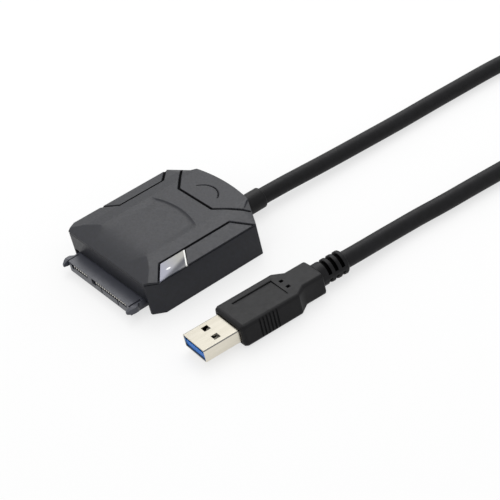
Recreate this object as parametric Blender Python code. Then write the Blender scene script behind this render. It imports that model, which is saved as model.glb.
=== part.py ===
# USB to SATA adapter: a moulded housing with a 22-way drive connector, and a short cord to a USB plug.
# Sizes are in millimetres. Lengths along the housing are measured from its front face, heights from the table.
import math

import bmesh
import bpy
import numpy as np
from mathutils import Vector

MM = 0.001

# Clearances
SEAT_GAP = 0.3  # round a piece in its seat
STRIP_GAP = 0.12  # round a contact strip, and under a soldered component

# Housing shell
BODY_WIDTH = 52.2
BODY_LENGTH = 49.3  # front face to the crown of the rear arc
BODY_HEIGHT = 14.0
FRONT_WIDTH = 46.6  # front face between the corner chamfers
FRONT_CHAMFER = 3.8  # length of those chamfers along the sides
REAR_WIDTH = 29.6  # chord of the rear arc
REAR_CHAMFER = 5.5  # length of the rear chamfers along the sides
REAR_BULGE = 1.4  # rise of the rear arc over its chord
WALL = 1.8
FLOOR = 1.2
SEAM_GAP = 0.25  # the line between case and cover
RIM = 0.4  # edge of the cover above that line
COVER_DEPTH = 1.8  # from the low edge of the roof to the flat underside of the cover
ROOF = 1.6  # thickness of the roof over its hollow

# Facets of the roof
PANEL_WIDTH = 6.4  # outer strip along each side
PANEL_DROP = 1.3  # fall of that strip towards the side
BAND_WIDTH = 5.4  # strip between the panel and the flat middle
BAND_DROP = 0.7
FRONT_SLOPE = 8.0  # length of the sloping front of the roof
FRONT_DROP = 1.9
CORNER_DROP = 0.7  # fall of the small rear corner facets below the roof
PAD_END = 30.4  # crown of the arc that ends the shallow pad
PAD_BULGE = 2.8
PAD_DEPTH = 0.45

# Grooves of the roof
GROOVE_WIDTH = 0.6
GROOVE_DEPTH = 0.7
REAR_GROOVE_WIDTH = 1.0
PANEL_RAMP = 4.9  # length of the slanting ends of the panels
PANEL_REAR_INSET = 0.8  # from the end of a panel to the rear corner
REAR_PANEL_FRONT = 36.8
REAR_PANEL_WIDTH = 19.4  # its front edge
REAR_PANEL_RAMP = 6.6  # length of its slanting sides
REAR_PANEL_SPREAD = 8.5  # how far each side spreads over that length
CREST_RADIUS = 7.8
CREST_HALF_ANGLE = 51.0
CREST_RISE = 0.1  # centre of the arc behind the front of the rear panel
CREST_WIDTH = 0.35
CREST_DEPTH = 0.3

# Clear window over the activity light
WINDOW_LENGTH = 11.0  # along the side of the housing
WINDOW_SLANT = 3.6  # how much further back its inner end is
WINDOW_LEDGE = 1.0

# Posts under the board, ribs over it, and the cover's snap hooks
POST_DIAMETER = 3.0
RIB_DIAMETER = 2.4
POST_INSET_X = 8.8  # from the inside of the walls to the posts
POST_FRONT = 12.0
POST_SPACING = 22.0
HOOK_WIDTH = 5.0
HOOK_THICKNESS = 1.0
HOOK_LENGTH = 3.4
HOOK_NOSE = 0.6
HOOK_TIP = 1.2  # height of the nose

# Circuit board and its components
BOARD_THICKNESS = 1.2
BOARD_SIDE_GAP = 3.6  # from the inside of the walls
BOARD_END = 40.6
CHIP_SIZE = 7.0
CHIP_HEIGHT = 0.9
FLASH_LENGTH = 4.9
FLASH_WIDTH = 3.9
FLASH_HEIGHT = 1.5
LEG_PITCH = 1.27
LEG_WIDTH = 0.42
LEG_REACH = 1.0
REGULATOR_LENGTH = 4.5
REGULATOR_WIDTH = 2.5
REGULATOR_HEIGHT = 1.5
INDUCTOR_SIZE = 5.0
INDUCTOR_HEIGHT = 3.0
CRYSTAL_LENGTH = 5.0
CRYSTAL_WIDTH = 3.2
CRYSTAL_HEIGHT = 1.1
CAN_DIAMETER = 6.3
CAN_HEIGHT = 5.2
LED_LENGTH = 3.5
LED_WIDTH = 2.8
LED_HEIGHT = 1.9
CHIP_PART_LENGTH = 1.6
CHIP_PART_WIDTH = 0.8
CHIP_PART_HEIGHT = 0.6

# Drive connector
PIN_PITCH = 1.27
SIGNAL_PINS = 7
POWER_PINS = 15
PITCHES_BETWEEN = 5  # from the last signal pin to the first power pin
PIN_OFFSET = 0.75  # of the middle of the row
PIN_WIDTH = 0.5
PIN_THICKNESS = 0.2
PIN_BEND = 0.35  # depth of the spring bow
PIN_SETBACK = 0.22  # of the contacts behind the mating face
PIN_TAIL = 2.6  # length of the tail on the board
CONNECTOR_WIDTH = 42.8  # over the guide arms
CONNECTOR_BODY = 37.8
CONNECTOR_BOTTOM = 0.7
CONNECTOR_HEIGHT = 4.0
CONNECTOR_REACH = 5.1  # mating face in front of the housing
CONNECTOR_DEPTH = 2.5  # body inside the housing
CONNECTOR_ROOF = 0.3
SLOT_HEIGHT = 1.3
SLOT_DEPTH = 4.5
SLOT_SIDE = 0.65  # slot beyond its outermost pins
SIGNAL_KEY_WIDTH = 1.5  # deeper part at one end of the slot
POWER_KEY_WIDTH = 2.5
KEY_DEPTH = 0.7
NOTCH_WIDTH = 0.6  # of the two notches in the lip under the power slot
NOTCH_HEIGHT = 1.9
NOTCH_DEPTH = 2.0
ARM_REACH = 6.9  # tip of the guide arms in front of the housing
ARM_WIDTH = 1.9
ARM_TOP_STEP = 0.1  # below the top of the body
ARM_UNDERCUT = 1.8  # above the bottom of the body
ARM_TIP_WIDTH = 0.7
ARM_TIP_HEIGHT = 0.9
ARM_TIP_DROP = 0.9  # tip below the top of the arm
ARM_TAPER = 1.3
ARM_HOOK_END = 3.2  # rear end of the wide part, in front of the housing
ARM_NARROW = 0.7  # width of the arm behind it
TAB_WIDTH = 1.2
TAB_INSET = 2.8  # from the end of the arms
OPENING_SIDE_GAP = 0.9

# Cable gland
GLAND_DIAMETER = 7.4
GLAND_REACH = 9.4  # behind the crown of the rear arc
GLAND_X = 4.7
GLAND_HEIGHT = 4.2
GLAND_ROUND = 0.6
COLLAR_WIDTH = 9.8
COLLAR_HEIGHT = 6.6
COLLAR_THICKNESS = 1.4
WIRE_DIAMETER = 1.1
WIRE_COUNT = 4
WIRE_PITCH = 3.0  # along the edge of the board

# USB plug, along its own axis from the mouth
SHELL_WIDTH = 12.0
SHELL_HEIGHT = 4.5
SHELL_WALL = 0.3
SHELL_LENGTH = 12.8  # in front of the grip
SHELL_SEAT = 4.0  # inside the grip
SHELL_HOLE_WIDTH = 2.4
SHELL_HOLE_LENGTH = 2.15
SHELL_HOLE_FRONT = 5.4
SHELL_HOLE_SPACING = 5.6
TONGUE_HEIGHT = 1.8
TONGUE_INSET = 0.5
TONGUE_BLOCK = 6.8  # length of its full-height rear block
FRONT_PADS = 4
FRONT_PAD_PITCH = 2.4
FRONT_PAD_WIDTH = 1.0
REAR_PADS = 5
REAR_PAD_PITCH = 2.0
REAR_PAD_WIDTH = 0.8
PAD_THICKNESS = 0.2
GRIP_WIDTH = 15.8
GRIP_HEIGHT = 8.0
GRIP_LENGTH = 21.5
GRIP_TAPER = 3.5
GRIP_ROUND = 1.3
COLLAR2_WIDTH = 10.8
COLLAR2_HEIGHT = 7.8
COLLAR2_LENGTH = 7.5
NECK_DIAMETER = 8.0
NECK_LENGTH = 10.9
RING_COUNT = 3
RING_PITCH = 2.5
RING_WIDTH = 1.25
RING_DEPTH = 1.0
RING_END_INSET = 2.3  # last ring to the end of the neck
RING_BRIDGE = 1.6
RECESS_WIDTH = 9.6
RECESS_LENGTH = 14.8
RECESS_FRONT = 4.9  # behind the front of the grip
RECESS_DEPTH = 0.5
PIN_HOLE = 1.2
PIN_HOLE_SPACING = 3.8
RIDGE_COUNT = 6
RIDGE_PITCH = 1.25
RIDGE_WIDTH = 0.6
RIDGE_DEPTH = 0.5
RIDGE_FRONT = 6.6
RIDGE_HEIGHT = 7.0

# Where the plug lies, and the cord between it and the gland
PLUG_X = 52.65
PLUG_Y = -2.8
PLUG_TURN = -2.4  # degrees
CORD_DIAMETER = 5.8
CORD_STEP = 2.0  # distance between points, in diameters
CORD_SIDES_RESOLUTION = 3
CORD_LIFT = 0.1  # of the resting cord above the table
# Points where the stiff cord comes down: offsets from gland or plug, and the share of its fall still left
LEAVING = ((0.4, 10.8, 0.95), (0.95, 21.3, 0.8), (1.35, 34.3, 0.55), (1.6, 47.3, 0.3), (1.85, 61.3, 0.08), (2.0, 75.3, 0.0))
ARRIVING = ((2.8, 87.6, 0.0), (2.45, 79.6, 0.1), (2.4, 71.6, 0.4))

# Derived places
HALF = BODY_WIDTH / 2
PANEL_X = HALF - PANEL_WIDTH
CREASE_X = PANEL_X - BAND_WIDTH
EDGE_HEIGHT = BODY_HEIGHT - BAND_DROP - PANEL_DROP
REAR_CHORD_Y = BODY_LENGTH - REAR_BULGE
REAR_CORNER_Y = REAR_CHORD_Y - REAR_CHAMFER
PANEL_START_Y = FRONT_CHAMFER + GROOVE_WIDTH / 2
PANEL_END_Y = REAR_CORNER_Y - PANEL_REAR_INSET
REAR_PANEL_SIDE_X = REAR_PANEL_WIDTH / 2 + REAR_PANEL_SPREAD
REAR_PANEL_SIDE_Y = REAR_PANEL_FRONT + REAR_PANEL_RAMP
CONNECTOR_TOP = CONNECTOR_BOTTOM + CONNECTOR_HEIGHT
STRIP_TOP = CONNECTOR_TOP - CONNECTOR_ROOF - STRIP_GAP
STRIP_BOTTOM = STRIP_TOP - PIN_THICKNESS
BOARD_TOP = STRIP_BOTTOM - STRIP_GAP
BOARD_BOTTOM = BOARD_TOP - BOARD_THICKNESS
BOARD_START = CONNECTOR_DEPTH + SEAT_GAP
BOARD_HALF = HALF - WALL - BOARD_SIDE_GAP
BOARD_MIDDLE = (BOARD_START + BOARD_END) / 2
COMPONENT_BASE = BOARD_TOP + STRIP_GAP
SEAM_TOP = EDGE_HEIGHT - RIM
WALL_TOP = SEAM_TOP - SEAM_GAP
COVER_BOTTOM = EDGE_HEIGHT - COVER_DEPTH
POST_X = HALF - WALL - POST_INSET_X
GLAND_END = BODY_LENGTH + GLAND_REACH
PLUG_AXIS = GRIP_HEIGHT / 2
GRIP_END = SHELL_LENGTH + GRIP_LENGTH
COLLAR2_START = GRIP_END + GRIP_TAPER
NECK_START = COLLAR2_START + COLLAR2_LENGTH
PLUG_LENGTH = NECK_START + NECK_LENGTH
# The frame's origin is the middle of the box round housing, connector and gland, on the table
MIDDLE_Y = (GLAND_END - ARM_REACH) / 2


def new_material(name, colour, roughness, metallic=0.0, transmission=0.0):
    """A Principled surface of one colour."""
    material = bpy.data.materials.new(name)
    material.use_nodes = True
    shader = material.node_tree.nodes["Principled BSDF"]
    shader.inputs["Base Color"].default_value = (*colour, 1.0)
    shader.inputs["Roughness"].default_value = roughness
    shader.inputs["Metallic"].default_value = metallic
    shader.inputs["Transmission Weight"].default_value = transmission
    return material


def new_object(name, bm):
    """An object from a bmesh in millimetres, with its faces outwards."""
    bmesh.ops.recalc_face_normals(bm, faces=bm.faces)
    for vertex in bm.verts:
        vertex.co *= MM
    mesh = bpy.data.meshes.new(name)
    bm.to_mesh(mesh)
    bm.free()
    obj = bpy.data.objects.new(name, mesh)
    bpy.context.collection.objects.link(obj)
    return obj


def loft(name, rings):
    """A closed solid through rings of points that have the same count."""
    bm = bmesh.new()
    loops = [[bm.verts.new(point) for point in ring] for ring in rings]
    for lower, upper in zip(loops, loops[1:]):
        for i in range(len(lower)):
            j = (i + 1) % len(lower)
            bm.faces.new((lower[i], lower[j], upper[j], upper[i]))
    bm.faces.new(loops[0][::-1])
    bm.faces.new(loops[-1])
    return new_object(name, bm)


def prism(name, outline, bottom, top):
    """An outline of (x, y) points raised between two heights."""
    return loft(name, [[(x, y, z) for x, y in outline] for z in (bottom, top)])


def prism_along_y(name, outline, start, end):
    """An outline of (x, z) points carried along the housing."""
    return loft(name, [[(x, y, z) for x, z in outline] for y in (start, end)])


def prism_along_x(name, outline, left, right):
    """An outline of (y, z) points carried across the housing."""
    return loft(name, [[(x, y, z) for y, z in outline] for x in (left, right)])


def box(name, x, y, z):
    """A box between three pairs of limits."""
    return prism(name, [(x[0], y[0]), (x[1], y[0]), (x[1], y[1]), (x[0], y[1])], *z)


def circle(radius, count, centre=(0.0, 0.0)):
    """Points of a circle, with flat sides at its lowest and highest places."""
    angles = [2 * math.pi * (i + 0.5) / count for i in range(count)]
    return [(centre[0] + radius * math.cos(a), centre[1] + radius * math.sin(a)) for a in angles]


def rounded_rectangle(width, height, radius, count=5):
    """Points of a rectangle round the origin whose corners are arcs."""
    points = []
    for corner, (sx, sy) in enumerate(((1, 1), (-1, 1), (-1, -1), (1, -1))):
        cx, cy = sx * (width / 2 - radius), sy * (height / 2 - radius)
        for i in range(count):
            angle = math.pi / 2 * (corner + i / (count - 1))
            points.append((cx + radius * math.cos(angle), cy + radius * math.sin(angle)))
    return points


def combine(obj, others, operation):
    """Cuts from or joins to an object a list of other objects, which are used up."""
    for other in others:
        modifier = obj.modifiers.new(operation.lower(), "BOOLEAN")
        modifier.operation = operation
        modifier.solver = "EXACT"
        modifier.object = other
        bpy.context.view_layer.update()
        result = obj.evaluated_get(bpy.context.evaluated_depsgraph_get())
        mesh = bpy.data.meshes.new_from_object(result)
        obj.modifiers.clear()
        obj.data = mesh
        bpy.data.objects.remove(other)
    return obj


def cut(obj, *cutters):
    return combine(obj, cutters, "DIFFERENCE")


def join(obj, *pieces):
    return combine(obj, pieces, "UNION")


def group(name, pieces):
    """One object of several separate solids."""
    bm = bmesh.new()
    for piece in pieces:
        bm.from_mesh(piece.data)
        bpy.data.objects.remove(piece)
    for vertex in bm.verts:
        vertex.co /= MM
    return new_object(name, bm)


def finish(obj, material, parent, smooth=False):
    """Gives a piece its material and frame, and smooth shading if it is round."""
    obj.data.materials.clear()
    obj.data.materials.append(material)
    if smooth:
        obj.data.shade_smooth()
        obj.data.set_sharp_from_angle(angle=math.radians(35))
    obj.parent = parent
    return obj


def side_drop(x):
    """Fall of the roof below its flat middle at a distance from the centre line."""
    x = abs(x)
    band = min(max(x - CREASE_X, 0.0), BAND_WIDTH) * BAND_DROP / BAND_WIDTH
    return band + max(x - PANEL_X, 0.0) * PANEL_DROP / PANEL_WIDTH


def roof_height(x, y):
    """Height of the roof's facets, before the pad and grooves."""
    return BODY_HEIGHT - max(side_drop(x), FRONT_DROP * (1 - y / FRONT_SLOPE), 0.0)


def rear_arc(half_chord, chord_y, bulge, count):
    """Points of an arc that bulges to the rear, from right to left."""
    radius = (half_chord**2 + bulge**2) / (2 * bulge)
    limit = math.asin(half_chord / radius)
    angles = [limit * (1 - 2 * i / (count - 1)) for i in range(count)]
    return [(radius * math.sin(a), chord_y + bulge - radius * (1 - math.cos(a))) for a in angles]


def body_outline(inset):
    """Plan of the housing, anticlockwise from its front left corner, drawn in by an inset."""
    side = HALF - inset
    slant = (BODY_WIDTH - FRONT_WIDTH) / 2
    front = FRONT_WIDTH / 2 - inset * (math.hypot(slant, FRONT_CHAMFER) - slant) / FRONT_CHAMFER
    front_y = FRONT_CHAMFER + inset * (math.hypot(slant, FRONT_CHAMFER) - FRONT_CHAMFER) / slant
    run = HALF - REAR_WIDTH / 2
    rear_y = REAR_CORNER_Y - inset * (math.hypot(run, REAR_CHAMFER) - REAR_CHAMFER) / run
    chord = REAR_WIDTH / 2 - inset * (math.hypot(run, REAR_CHAMFER) - run) / REAR_CHAMFER
    arc = rear_arc(chord, REAR_CHORD_Y - inset, REAR_BULGE, 13)
    left_side = [(-side, rear_y), (-side, front_y)]
    return [(-front, inset), (front, inset), (side, front_y), (side, rear_y)] + arc + left_side


def groove(name, path, width, depth):
    """A cutter for a groove that keeps its depth below the sloping roof."""
    rings = []
    points = [Vector(point) for point in path]
    for i, point in enumerate(points):
        before = (point - points[i - 1]).normalized() if i else None
        after = (points[i + 1] - point).normalized() if i + 1 < len(points) else None
        along = (before or after) + (after or before)
        along.normalize()
        across = Vector((along.y, -along.x))
        mitre = width / 2 / max(abs(across.dot(Vector(((after or before).y, -(after or before).x)))), 0.5)
        left, right = point - across * mitre, point + across * mitre
        floor = roof_height(*point) - depth
        lid = BODY_HEIGHT + 1
        rings.append([(*left, floor), (*right, floor), (*right, lid), (*left, lid)])
    return loft(name, rings)


def mirrored(points):
    return [(-x, y) for x, y in points]


def panel_path():
    """Middle line of the groove round a side panel, from its front end to its rear end."""
    slant = PANEL_RAMP / PANEL_WIDTH
    outside = HALF + 1
    return [
        (outside, PANEL_START_Y - slant),
        (PANEL_X, PANEL_START_Y + PANEL_RAMP),
        (PANEL_X, PANEL_END_Y - PANEL_RAMP),
        (outside, PANEL_END_Y + slant),
    ]


def window_outline(gap, outside):
    """Plan of the window grown by a gap, out to a given distance from the centre line."""
    ramp = PANEL_RAMP / PANEL_WIDTH
    slant = WINDOW_SLANT / PANEL_WIDTH
    inner = PANEL_X + GROOVE_WIDTH / 2 - gap
    front = PANEL_START_Y + GROOVE_WIDTH / 2 - gap * math.hypot(1, ramp)
    rear = PANEL_START_Y + WINDOW_LENGTH + gap * math.hypot(1, slant)
    reach_in, reach_out = HALF - inner, HALF - outside
    return [
        (inner, front + ramp * reach_in),
        (outside, front + ramp * reach_out),
        (outside, rear + slant * reach_out),
        (inner, rear + slant * reach_in),
    ]


def window_solid(name, gap, outside, rise, bottom):
    """A wedge over the window's plan, from a flat bottom to a height above the sloping panel."""
    outline = window_outline(gap, outside)
    top = [(x, y, roof_height(x, FRONT_SLOPE) + rise) for x, y in outline]
    return loft(name, [[(x, y, bottom) for x, y in outline], top])


def roof_cutters():
    """Wedges that leave the sloping front, the bands and panels, the rear corner facets and the pad."""
    lid = BODY_HEIGHT + 2
    slope = FRONT_DROP / FRONT_SLOPE
    front = [(-1, BODY_HEIGHT - FRONT_DROP - slope), (FRONT_SLOPE, BODY_HEIGHT), (FRONT_SLOPE, lid), (-1, lid)]
    cutters = [prism_along_x("front_wedge", front, -HALF - 1, HALF + 1)]
    section = [
        (CREASE_X, BODY_HEIGHT),
        (PANEL_X, BODY_HEIGHT - BAND_DROP),
        (HALF + 1, BODY_HEIGHT - side_drop(HALF + 1)),
        (HALF + 1, lid),
        (CREASE_X, lid),
    ]
    for sign in (-1, 1):
        outline = [(sign * x, z) for x, z in section]
        cutters.append(prism_along_y("side_wedge", outline, -1, BODY_LENGTH + 1))
        chord, run = REAR_WIDTH / 2, HALF - REAR_WIDTH / 2
        out = Vector((REAR_CHAMFER, run)).normalized()
        inner = Vector((REAR_PANEL_SIDE_X, REAR_PANEL_SIDE_Y))
        side = Vector((HALF, REAR_CORNER_Y))
        rear = Vector((chord, REAR_CHORD_Y))
        falls = [0.0, 0.0, CORNER_DROP]
        a, b, c = (Vector((*p, roof_height(*p) - fall)) for p, fall in zip((inner, side, rear), falls))
        normal = (b - a).cross(c - a)
        far_side, far_rear = side + (side - inner) * 0.2 + out, rear + (rear - inner) * 0.3 + out
        plan = [inner, far_side, far_rear]
        low = [(p.x, p.y, a.z - (normal.x * (p.x - a.x) + normal.y * (p.y - a.y)) / normal.z) for p in plan]
        rings = [[(sign * x, y, z) for x, y, z in low], [(sign * p.x, p.y, lid) for p in plan]]
        cutters.append(loft("corner_wedge", rings))
    pad = rear_arc(CREASE_X, PAD_END - PAD_BULGE, PAD_BULGE, 17)
    pad = [(-CREASE_X, FRONT_SLOPE), (CREASE_X, FRONT_SLOPE)] + pad
    run = PAD_END - FRONT_SLOPE
    floor = [(x, y, BODY_HEIGHT - PAD_DEPTH * (y - FRONT_SLOPE) / run) for x, y in pad]
    cutters.append(loft("pad_wedge", [floor, [(x, y, lid) for x, y in pad]]))
    return cutters


def groove_cutters():
    """The black lines of the roof: round the side panels, before the rear panel, and its arc."""
    cutters = [groove("panel_groove", panel_path(), GROOVE_WIDTH, GROOVE_DEPTH)]
    left = mirrored(panel_path())
    ramp_end = PANEL_START_Y + WINDOW_LENGTH
    left[0] = (-HALF - 1, ramp_end - WINDOW_SLANT / PANEL_WIDTH)
    left[1] = (-PANEL_X, ramp_end + WINDOW_SLANT)
    cutters.append(groove("left_panel_groove", left, GROOVE_WIDTH, GROOVE_DEPTH))
    past = 1.2  # share of the slanting sides, so that the groove runs out through the corner facets
    rear_end = (REAR_PANEL_WIDTH / 2 + REAR_PANEL_SPREAD * past, REAR_PANEL_FRONT + REAR_PANEL_RAMP * past)
    rear = [rear_end, (REAR_PANEL_WIDTH / 2, REAR_PANEL_FRONT)]
    cutters.append(groove("rear_groove", rear + mirrored(rear)[::-1], REAR_GROOVE_WIDTH, GROOVE_DEPTH))
    limit = math.radians(CREST_HALF_ANGLE)
    centre_y = REAR_PANEL_FRONT + CREST_RISE
    angles = [limit * (1 - i / 6) for i in range(13)]
    arc = [(CREST_RADIUS * math.sin(a), centre_y + CREST_RADIUS * math.cos(a)) for a in angles]
    cutters.append(groove("arc_groove", arc, CREST_WIDTH, CREST_DEPTH))
    return cutters


def hook_places():
    """Middle and inward direction of the four snap hooks along the side walls."""
    ys = (POST_FRONT, POST_FRONT + POST_SPACING)
    return [(sign, y) for sign in (-1, 1) for y in ys]


def post_places():
    return [(sign * POST_X, POST_FRONT + POST_SPACING * i) for sign in (-1, 1) for i in (0, 1)]


def gland_ring(radius, y, count=20):
    return [(x, y, z) for x, z in circle(radius, count, (GLAND_X, GLAND_HEIGHT))]


def gland_bore(name, y0, y1):
    """A cutter for the hole that the gland passes through."""
    radius = GLAND_DIAMETER / 2 + SEAT_GAP
    return loft(name, [gland_ring(radius, y0), gland_ring(radius, y1)])


def make_cover(material, frame):
    """The faceted cover: its rim lies on the walls, its underside drops between them."""
    inner, outer = body_outline(WALL + SEAT_GAP), body_outline(0.0)
    levels = [(inner, COVER_BOTTOM), (inner, SEAM_TOP), (outer, SEAM_TOP), (outer, BODY_HEIGHT)]
    cover = loft("top_cover", [[(x, y, z) for x, y in outline] for outline, z in levels])
    cut(cover, *roof_cutters())
    cut(cover, *groove_cutters())
    room_x = CREASE_X + BAND_WIDTH / 2
    room_y = (FRONT_SLOPE, REAR_PANEL_FRONT - WALL)
    room_z = (COVER_BOTTOM - 1, BODY_HEIGHT - ROOF - BAND_DROP / 2)
    cut(cover, box("roof_room", (-room_x, room_x), room_y, room_z))
    cut(cover, window_solid("window_pocket", SEAT_GAP, HALF + 1, 2.0, SEAM_TOP - SEAT_GAP))
    hole = window_outline(-WINDOW_LEDGE, HALF - WALL - SEAT_GAP - WINDOW_LEDGE)
    cut(cover, prism("window_hole", hole, COVER_BOTTOM - 1, BODY_HEIGHT + 1))
    for x, y in post_places():
        levels = (BOARD_TOP + SEAT_GAP, BODY_HEIGHT - ROOF)
        join(cover, prism("rib", circle(RIB_DIAMETER / 2, 12, (x, y)), *levels))
    face = HALF - WALL - SEAT_GAP
    tip = COVER_BOTTOM - HOOK_LENGTH
    profile = [
        (face - HOOK_THICKNESS, COVER_BOTTOM + 0.5),
        (face - HOOK_THICKNESS, tip),
        (face, tip),
        (face + HOOK_NOSE, tip + HOOK_TIP * 0.7),
        (face, tip + HOOK_TIP),
        (face, COVER_BOTTOM + 0.5),
    ]
    for sign, y in hook_places():
        outline = [(sign * x, z) for x, z in profile]
        join(cover, prism_along_y("hook", outline, y - HOOK_WIDTH / 2, y + HOOK_WIDTH / 2))
    return finish(cover, material, frame)


def make_case(material, frame):
    """The case: floor, walls, posts for the board, and recesses for the cover's hooks."""
    case = prism("bottom_case", body_outline(0.0), 0.0, WALL_TOP)
    cut(case, prism("cavity", body_outline(WALL), FLOOR, WALL_TOP + 1))
    opening_x = CONNECTOR_WIDTH / 2 + OPENING_SIDE_GAP
    opening_y = (-1, CONNECTOR_DEPTH + SEAT_GAP)
    cut(case, box("front_opening", (-opening_x, opening_x), opening_y, (-1, CONNECTOR_TOP + SEAT_GAP)))
    cut(case, gland_bore("gland_bore", REAR_CHORD_Y - WALL - COLLAR_THICKNESS - 2 * SEAT_GAP, BODY_LENGTH + 1))
    tip = COVER_BOTTOM - HOOK_LENGTH
    for sign, y in hook_places():
        wall = sorted((sign * (HALF - WALL - 0.3), sign * (HALF - WALL - SEAT_GAP + HOOK_NOSE + SEAT_GAP)))
        half = HOOK_WIDTH / 2 + SEAT_GAP
        levels = (tip - SEAT_GAP, tip + HOOK_TIP + SEAT_GAP)
        cut(case, box("hook_recess", wall, (y - half, y + half), levels))
    for x, y in post_places():
        join(case, prism("post", circle(POST_DIAMETER / 2, 12, (x, y)), FLOOR / 2, BOARD_BOTTOM - SEAT_GAP))
    return finish(case, material, frame)


def make_window(material, frame):
    window = window_solid("led_window", 0.0, HALF, 0.0, SEAM_TOP)
    return finish(window, material, frame)


def pin_places():
    """Positions across the connector of the signal pins and of the power pins."""
    count = SIGNAL_PINS + POWER_PINS
    span = (count - 2 + PITCHES_BETWEEN) * PIN_PITCH
    signal = [PIN_OFFSET - span / 2 + PIN_PITCH * i for i in range(SIGNAL_PINS)]
    power = [PIN_OFFSET + span / 2 - PIN_PITCH * i for i in range(POWER_PINS)][::-1]
    return signal, power


def arm_ring(sign, y, width, low, high):
    """Section of a guide arm, of a width outwards from its inner side."""
    inner = CONNECTOR_WIDTH / 2 - ARM_WIDTH
    points = [(inner, low), (inner + width, low), (inner + width, high), (inner, high)]
    return [(sign * x, y, z) for x, z in points]


def make_connector(material, frame):
    """The drive connector's moulding: two keyed slots, a contact channel for each pin, and guide arms."""
    half = CONNECTOR_BODY / 2
    face = -CONNECTOR_REACH
    body = box("drive_connector", (-half, half), (face, CONNECTOR_DEPTH), (CONNECTOR_BOTTOM, CONNECTOR_TOP))
    low, high = CONNECTOR_BOTTOM + ARM_UNDERCUT, CONNECTOR_TOP - ARM_TOP_STEP
    tip = high - ARM_TIP_DROP
    bridge_x = CONNECTOR_WIDTH / 2 - ARM_WIDTH + ARM_NARROW / 2
    join(body, box("rear_bridge", (-bridge_x, bridge_x), (face + SLOT_DEPTH, CONNECTOR_DEPTH), (low, high)))
    for sign in (-1, 1):
        rings = [
            arm_ring(sign, -ARM_REACH, ARM_TIP_WIDTH, tip - ARM_TIP_HEIGHT, tip),
            arm_ring(sign, -ARM_REACH + ARM_TAPER, (ARM_TIP_WIDTH + 3 * ARM_WIDTH) / 4, low, (tip + 3 * high) / 4),
            arm_ring(sign, -ARM_REACH + 1.7 * ARM_TAPER, ARM_WIDTH, low, high),
            arm_ring(sign, -ARM_HOOK_END, ARM_WIDTH, low, high),
            arm_ring(sign, -ARM_HOOK_END + ARM_WIDTH - ARM_NARROW, ARM_NARROW, low, high),
            arm_ring(sign, CONNECTOR_DEPTH - 0.2, ARM_NARROW, low, high),
        ]
        join(body, loft("arm", rings))
    slot_top = CONNECTOR_TOP - CONNECTOR_ROOF
    slot_low = slot_top - SLOT_HEIGHT
    slot_y = (face - 1, face + SLOT_DEPTH)
    for pins, key_width in zip(pin_places(), (SIGNAL_KEY_WIDTH, POWER_KEY_WIDTH)):
        left, right = pins[0] - SLOT_SIDE - key_width, pins[-1] + SLOT_SIDE
        cut(body, box("slot", (left, right), slot_y, (slot_low, slot_top)))
        cut(body, box("key", (left, left + key_width), slot_y, (slot_low - KEY_DEPTH, slot_low + 0.2)))
    power = pin_places()[1]
    for x in (power[2], power[-5]):
        notch = (x - NOTCH_WIDTH / 2, x + NOTCH_WIDTH / 2)
        cut(body, box("lip_notch", notch, (face - 1, face + NOTCH_DEPTH), (slot_low - NOTCH_HEIGHT, slot_low + 0.2)))
    channel_z = (STRIP_BOTTOM - STRIP_GAP, STRIP_TOP + STRIP_GAP)
    channel_y = (face + SLOT_DEPTH - 0.2, CONNECTOR_DEPTH + 1)
    reach = PIN_WIDTH / 2 + STRIP_GAP
    channels = [box("channel", (x - reach, x + reach), channel_y, channel_z) for x in sum(pin_places(), [])]
    reach = TAB_WIDTH / 2 + STRIP_GAP
    middle = CONNECTOR_WIDTH / 2 - TAB_INSET
    for sign in (-1, 1):
        x = sorted((sign * (middle - reach), sign * (middle + reach)))
        channels.append(box("channel", x, (CONNECTOR_DEPTH / 3, CONNECTOR_DEPTH + 1), channel_z))
    cut(body, group("channels", channels))
    return finish(body, material, frame)


def strip(name, x, width, path):
    """A flat metal strip of constant thickness along a path of (y, height of its upper side)."""
    points = [Vector(point) for point in path]
    inner = []
    for i, point in enumerate(points):
        before = (point - points[i - 1]).normalized() if i else (points[1] - point).normalized()
        after = (points[i + 1] - point).normalized() if i + 1 < len(points) else before
        along = (before + after).normalized()
        across = Vector((along.y, -along.x))
        inner.append(point + across * PIN_THICKNESS / max(across.dot(Vector((before.y, -before.x))), 0.5))
    outline = [tuple(point) for point in points + inner[::-1]]
    return prism_along_x(name, outline, x - width / 2, x + width / 2)


def make_pins(name, places, material, frame):
    """Spring contacts: a bow behind the mouth of the slot, a straight run and a tail on the board."""
    front = -CONNECTOR_REACH
    rear = front + SLOT_DEPTH
    tip = front + PIN_SETBACK
    path = [
        (tip, STRIP_TOP),
        (tip, STRIP_TOP - PIN_BEND),
        (tip + 1.3, STRIP_TOP - PIN_BEND),
        (rear - 0.6, STRIP_TOP),
        (BOARD_START + PIN_TAIL, STRIP_TOP),
    ]
    for i, x in enumerate(places):
        finish(strip(f"{name}_{i + 1}", x, PIN_WIDTH, path), material, frame)


def make_tabs(material, frame):
    """Metal tabs that hold the ends of the connector to the board."""
    middle = CONNECTOR_WIDTH / 2 - TAB_INSET
    path = [(CONNECTOR_DEPTH / 3 + STRIP_GAP, STRIP_TOP), (BOARD_START + PIN_TAIL, STRIP_TOP)]
    for name, sign in (("connector_tab_left", -1), ("connector_tab_right", 1)):
        finish(strip(name, sign * middle, TAB_WIDTH, path), material, frame)


def make_board(material, frame):
    """The circuit board."""
    board = box("main_board", (-BOARD_HALF, BOARD_HALF), (BOARD_START, BOARD_END), (BOARD_BOTTOM, BOARD_TOP))
    return finish(board, material, frame)


def component(name, x, y, length, width, height):
    """A plain package on the board."""
    limits = (COMPONENT_BASE, COMPONENT_BASE + height)
    return box(name, (x - length / 2, x + length / 2), (y - width / 2, y + width / 2), limits)


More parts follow.
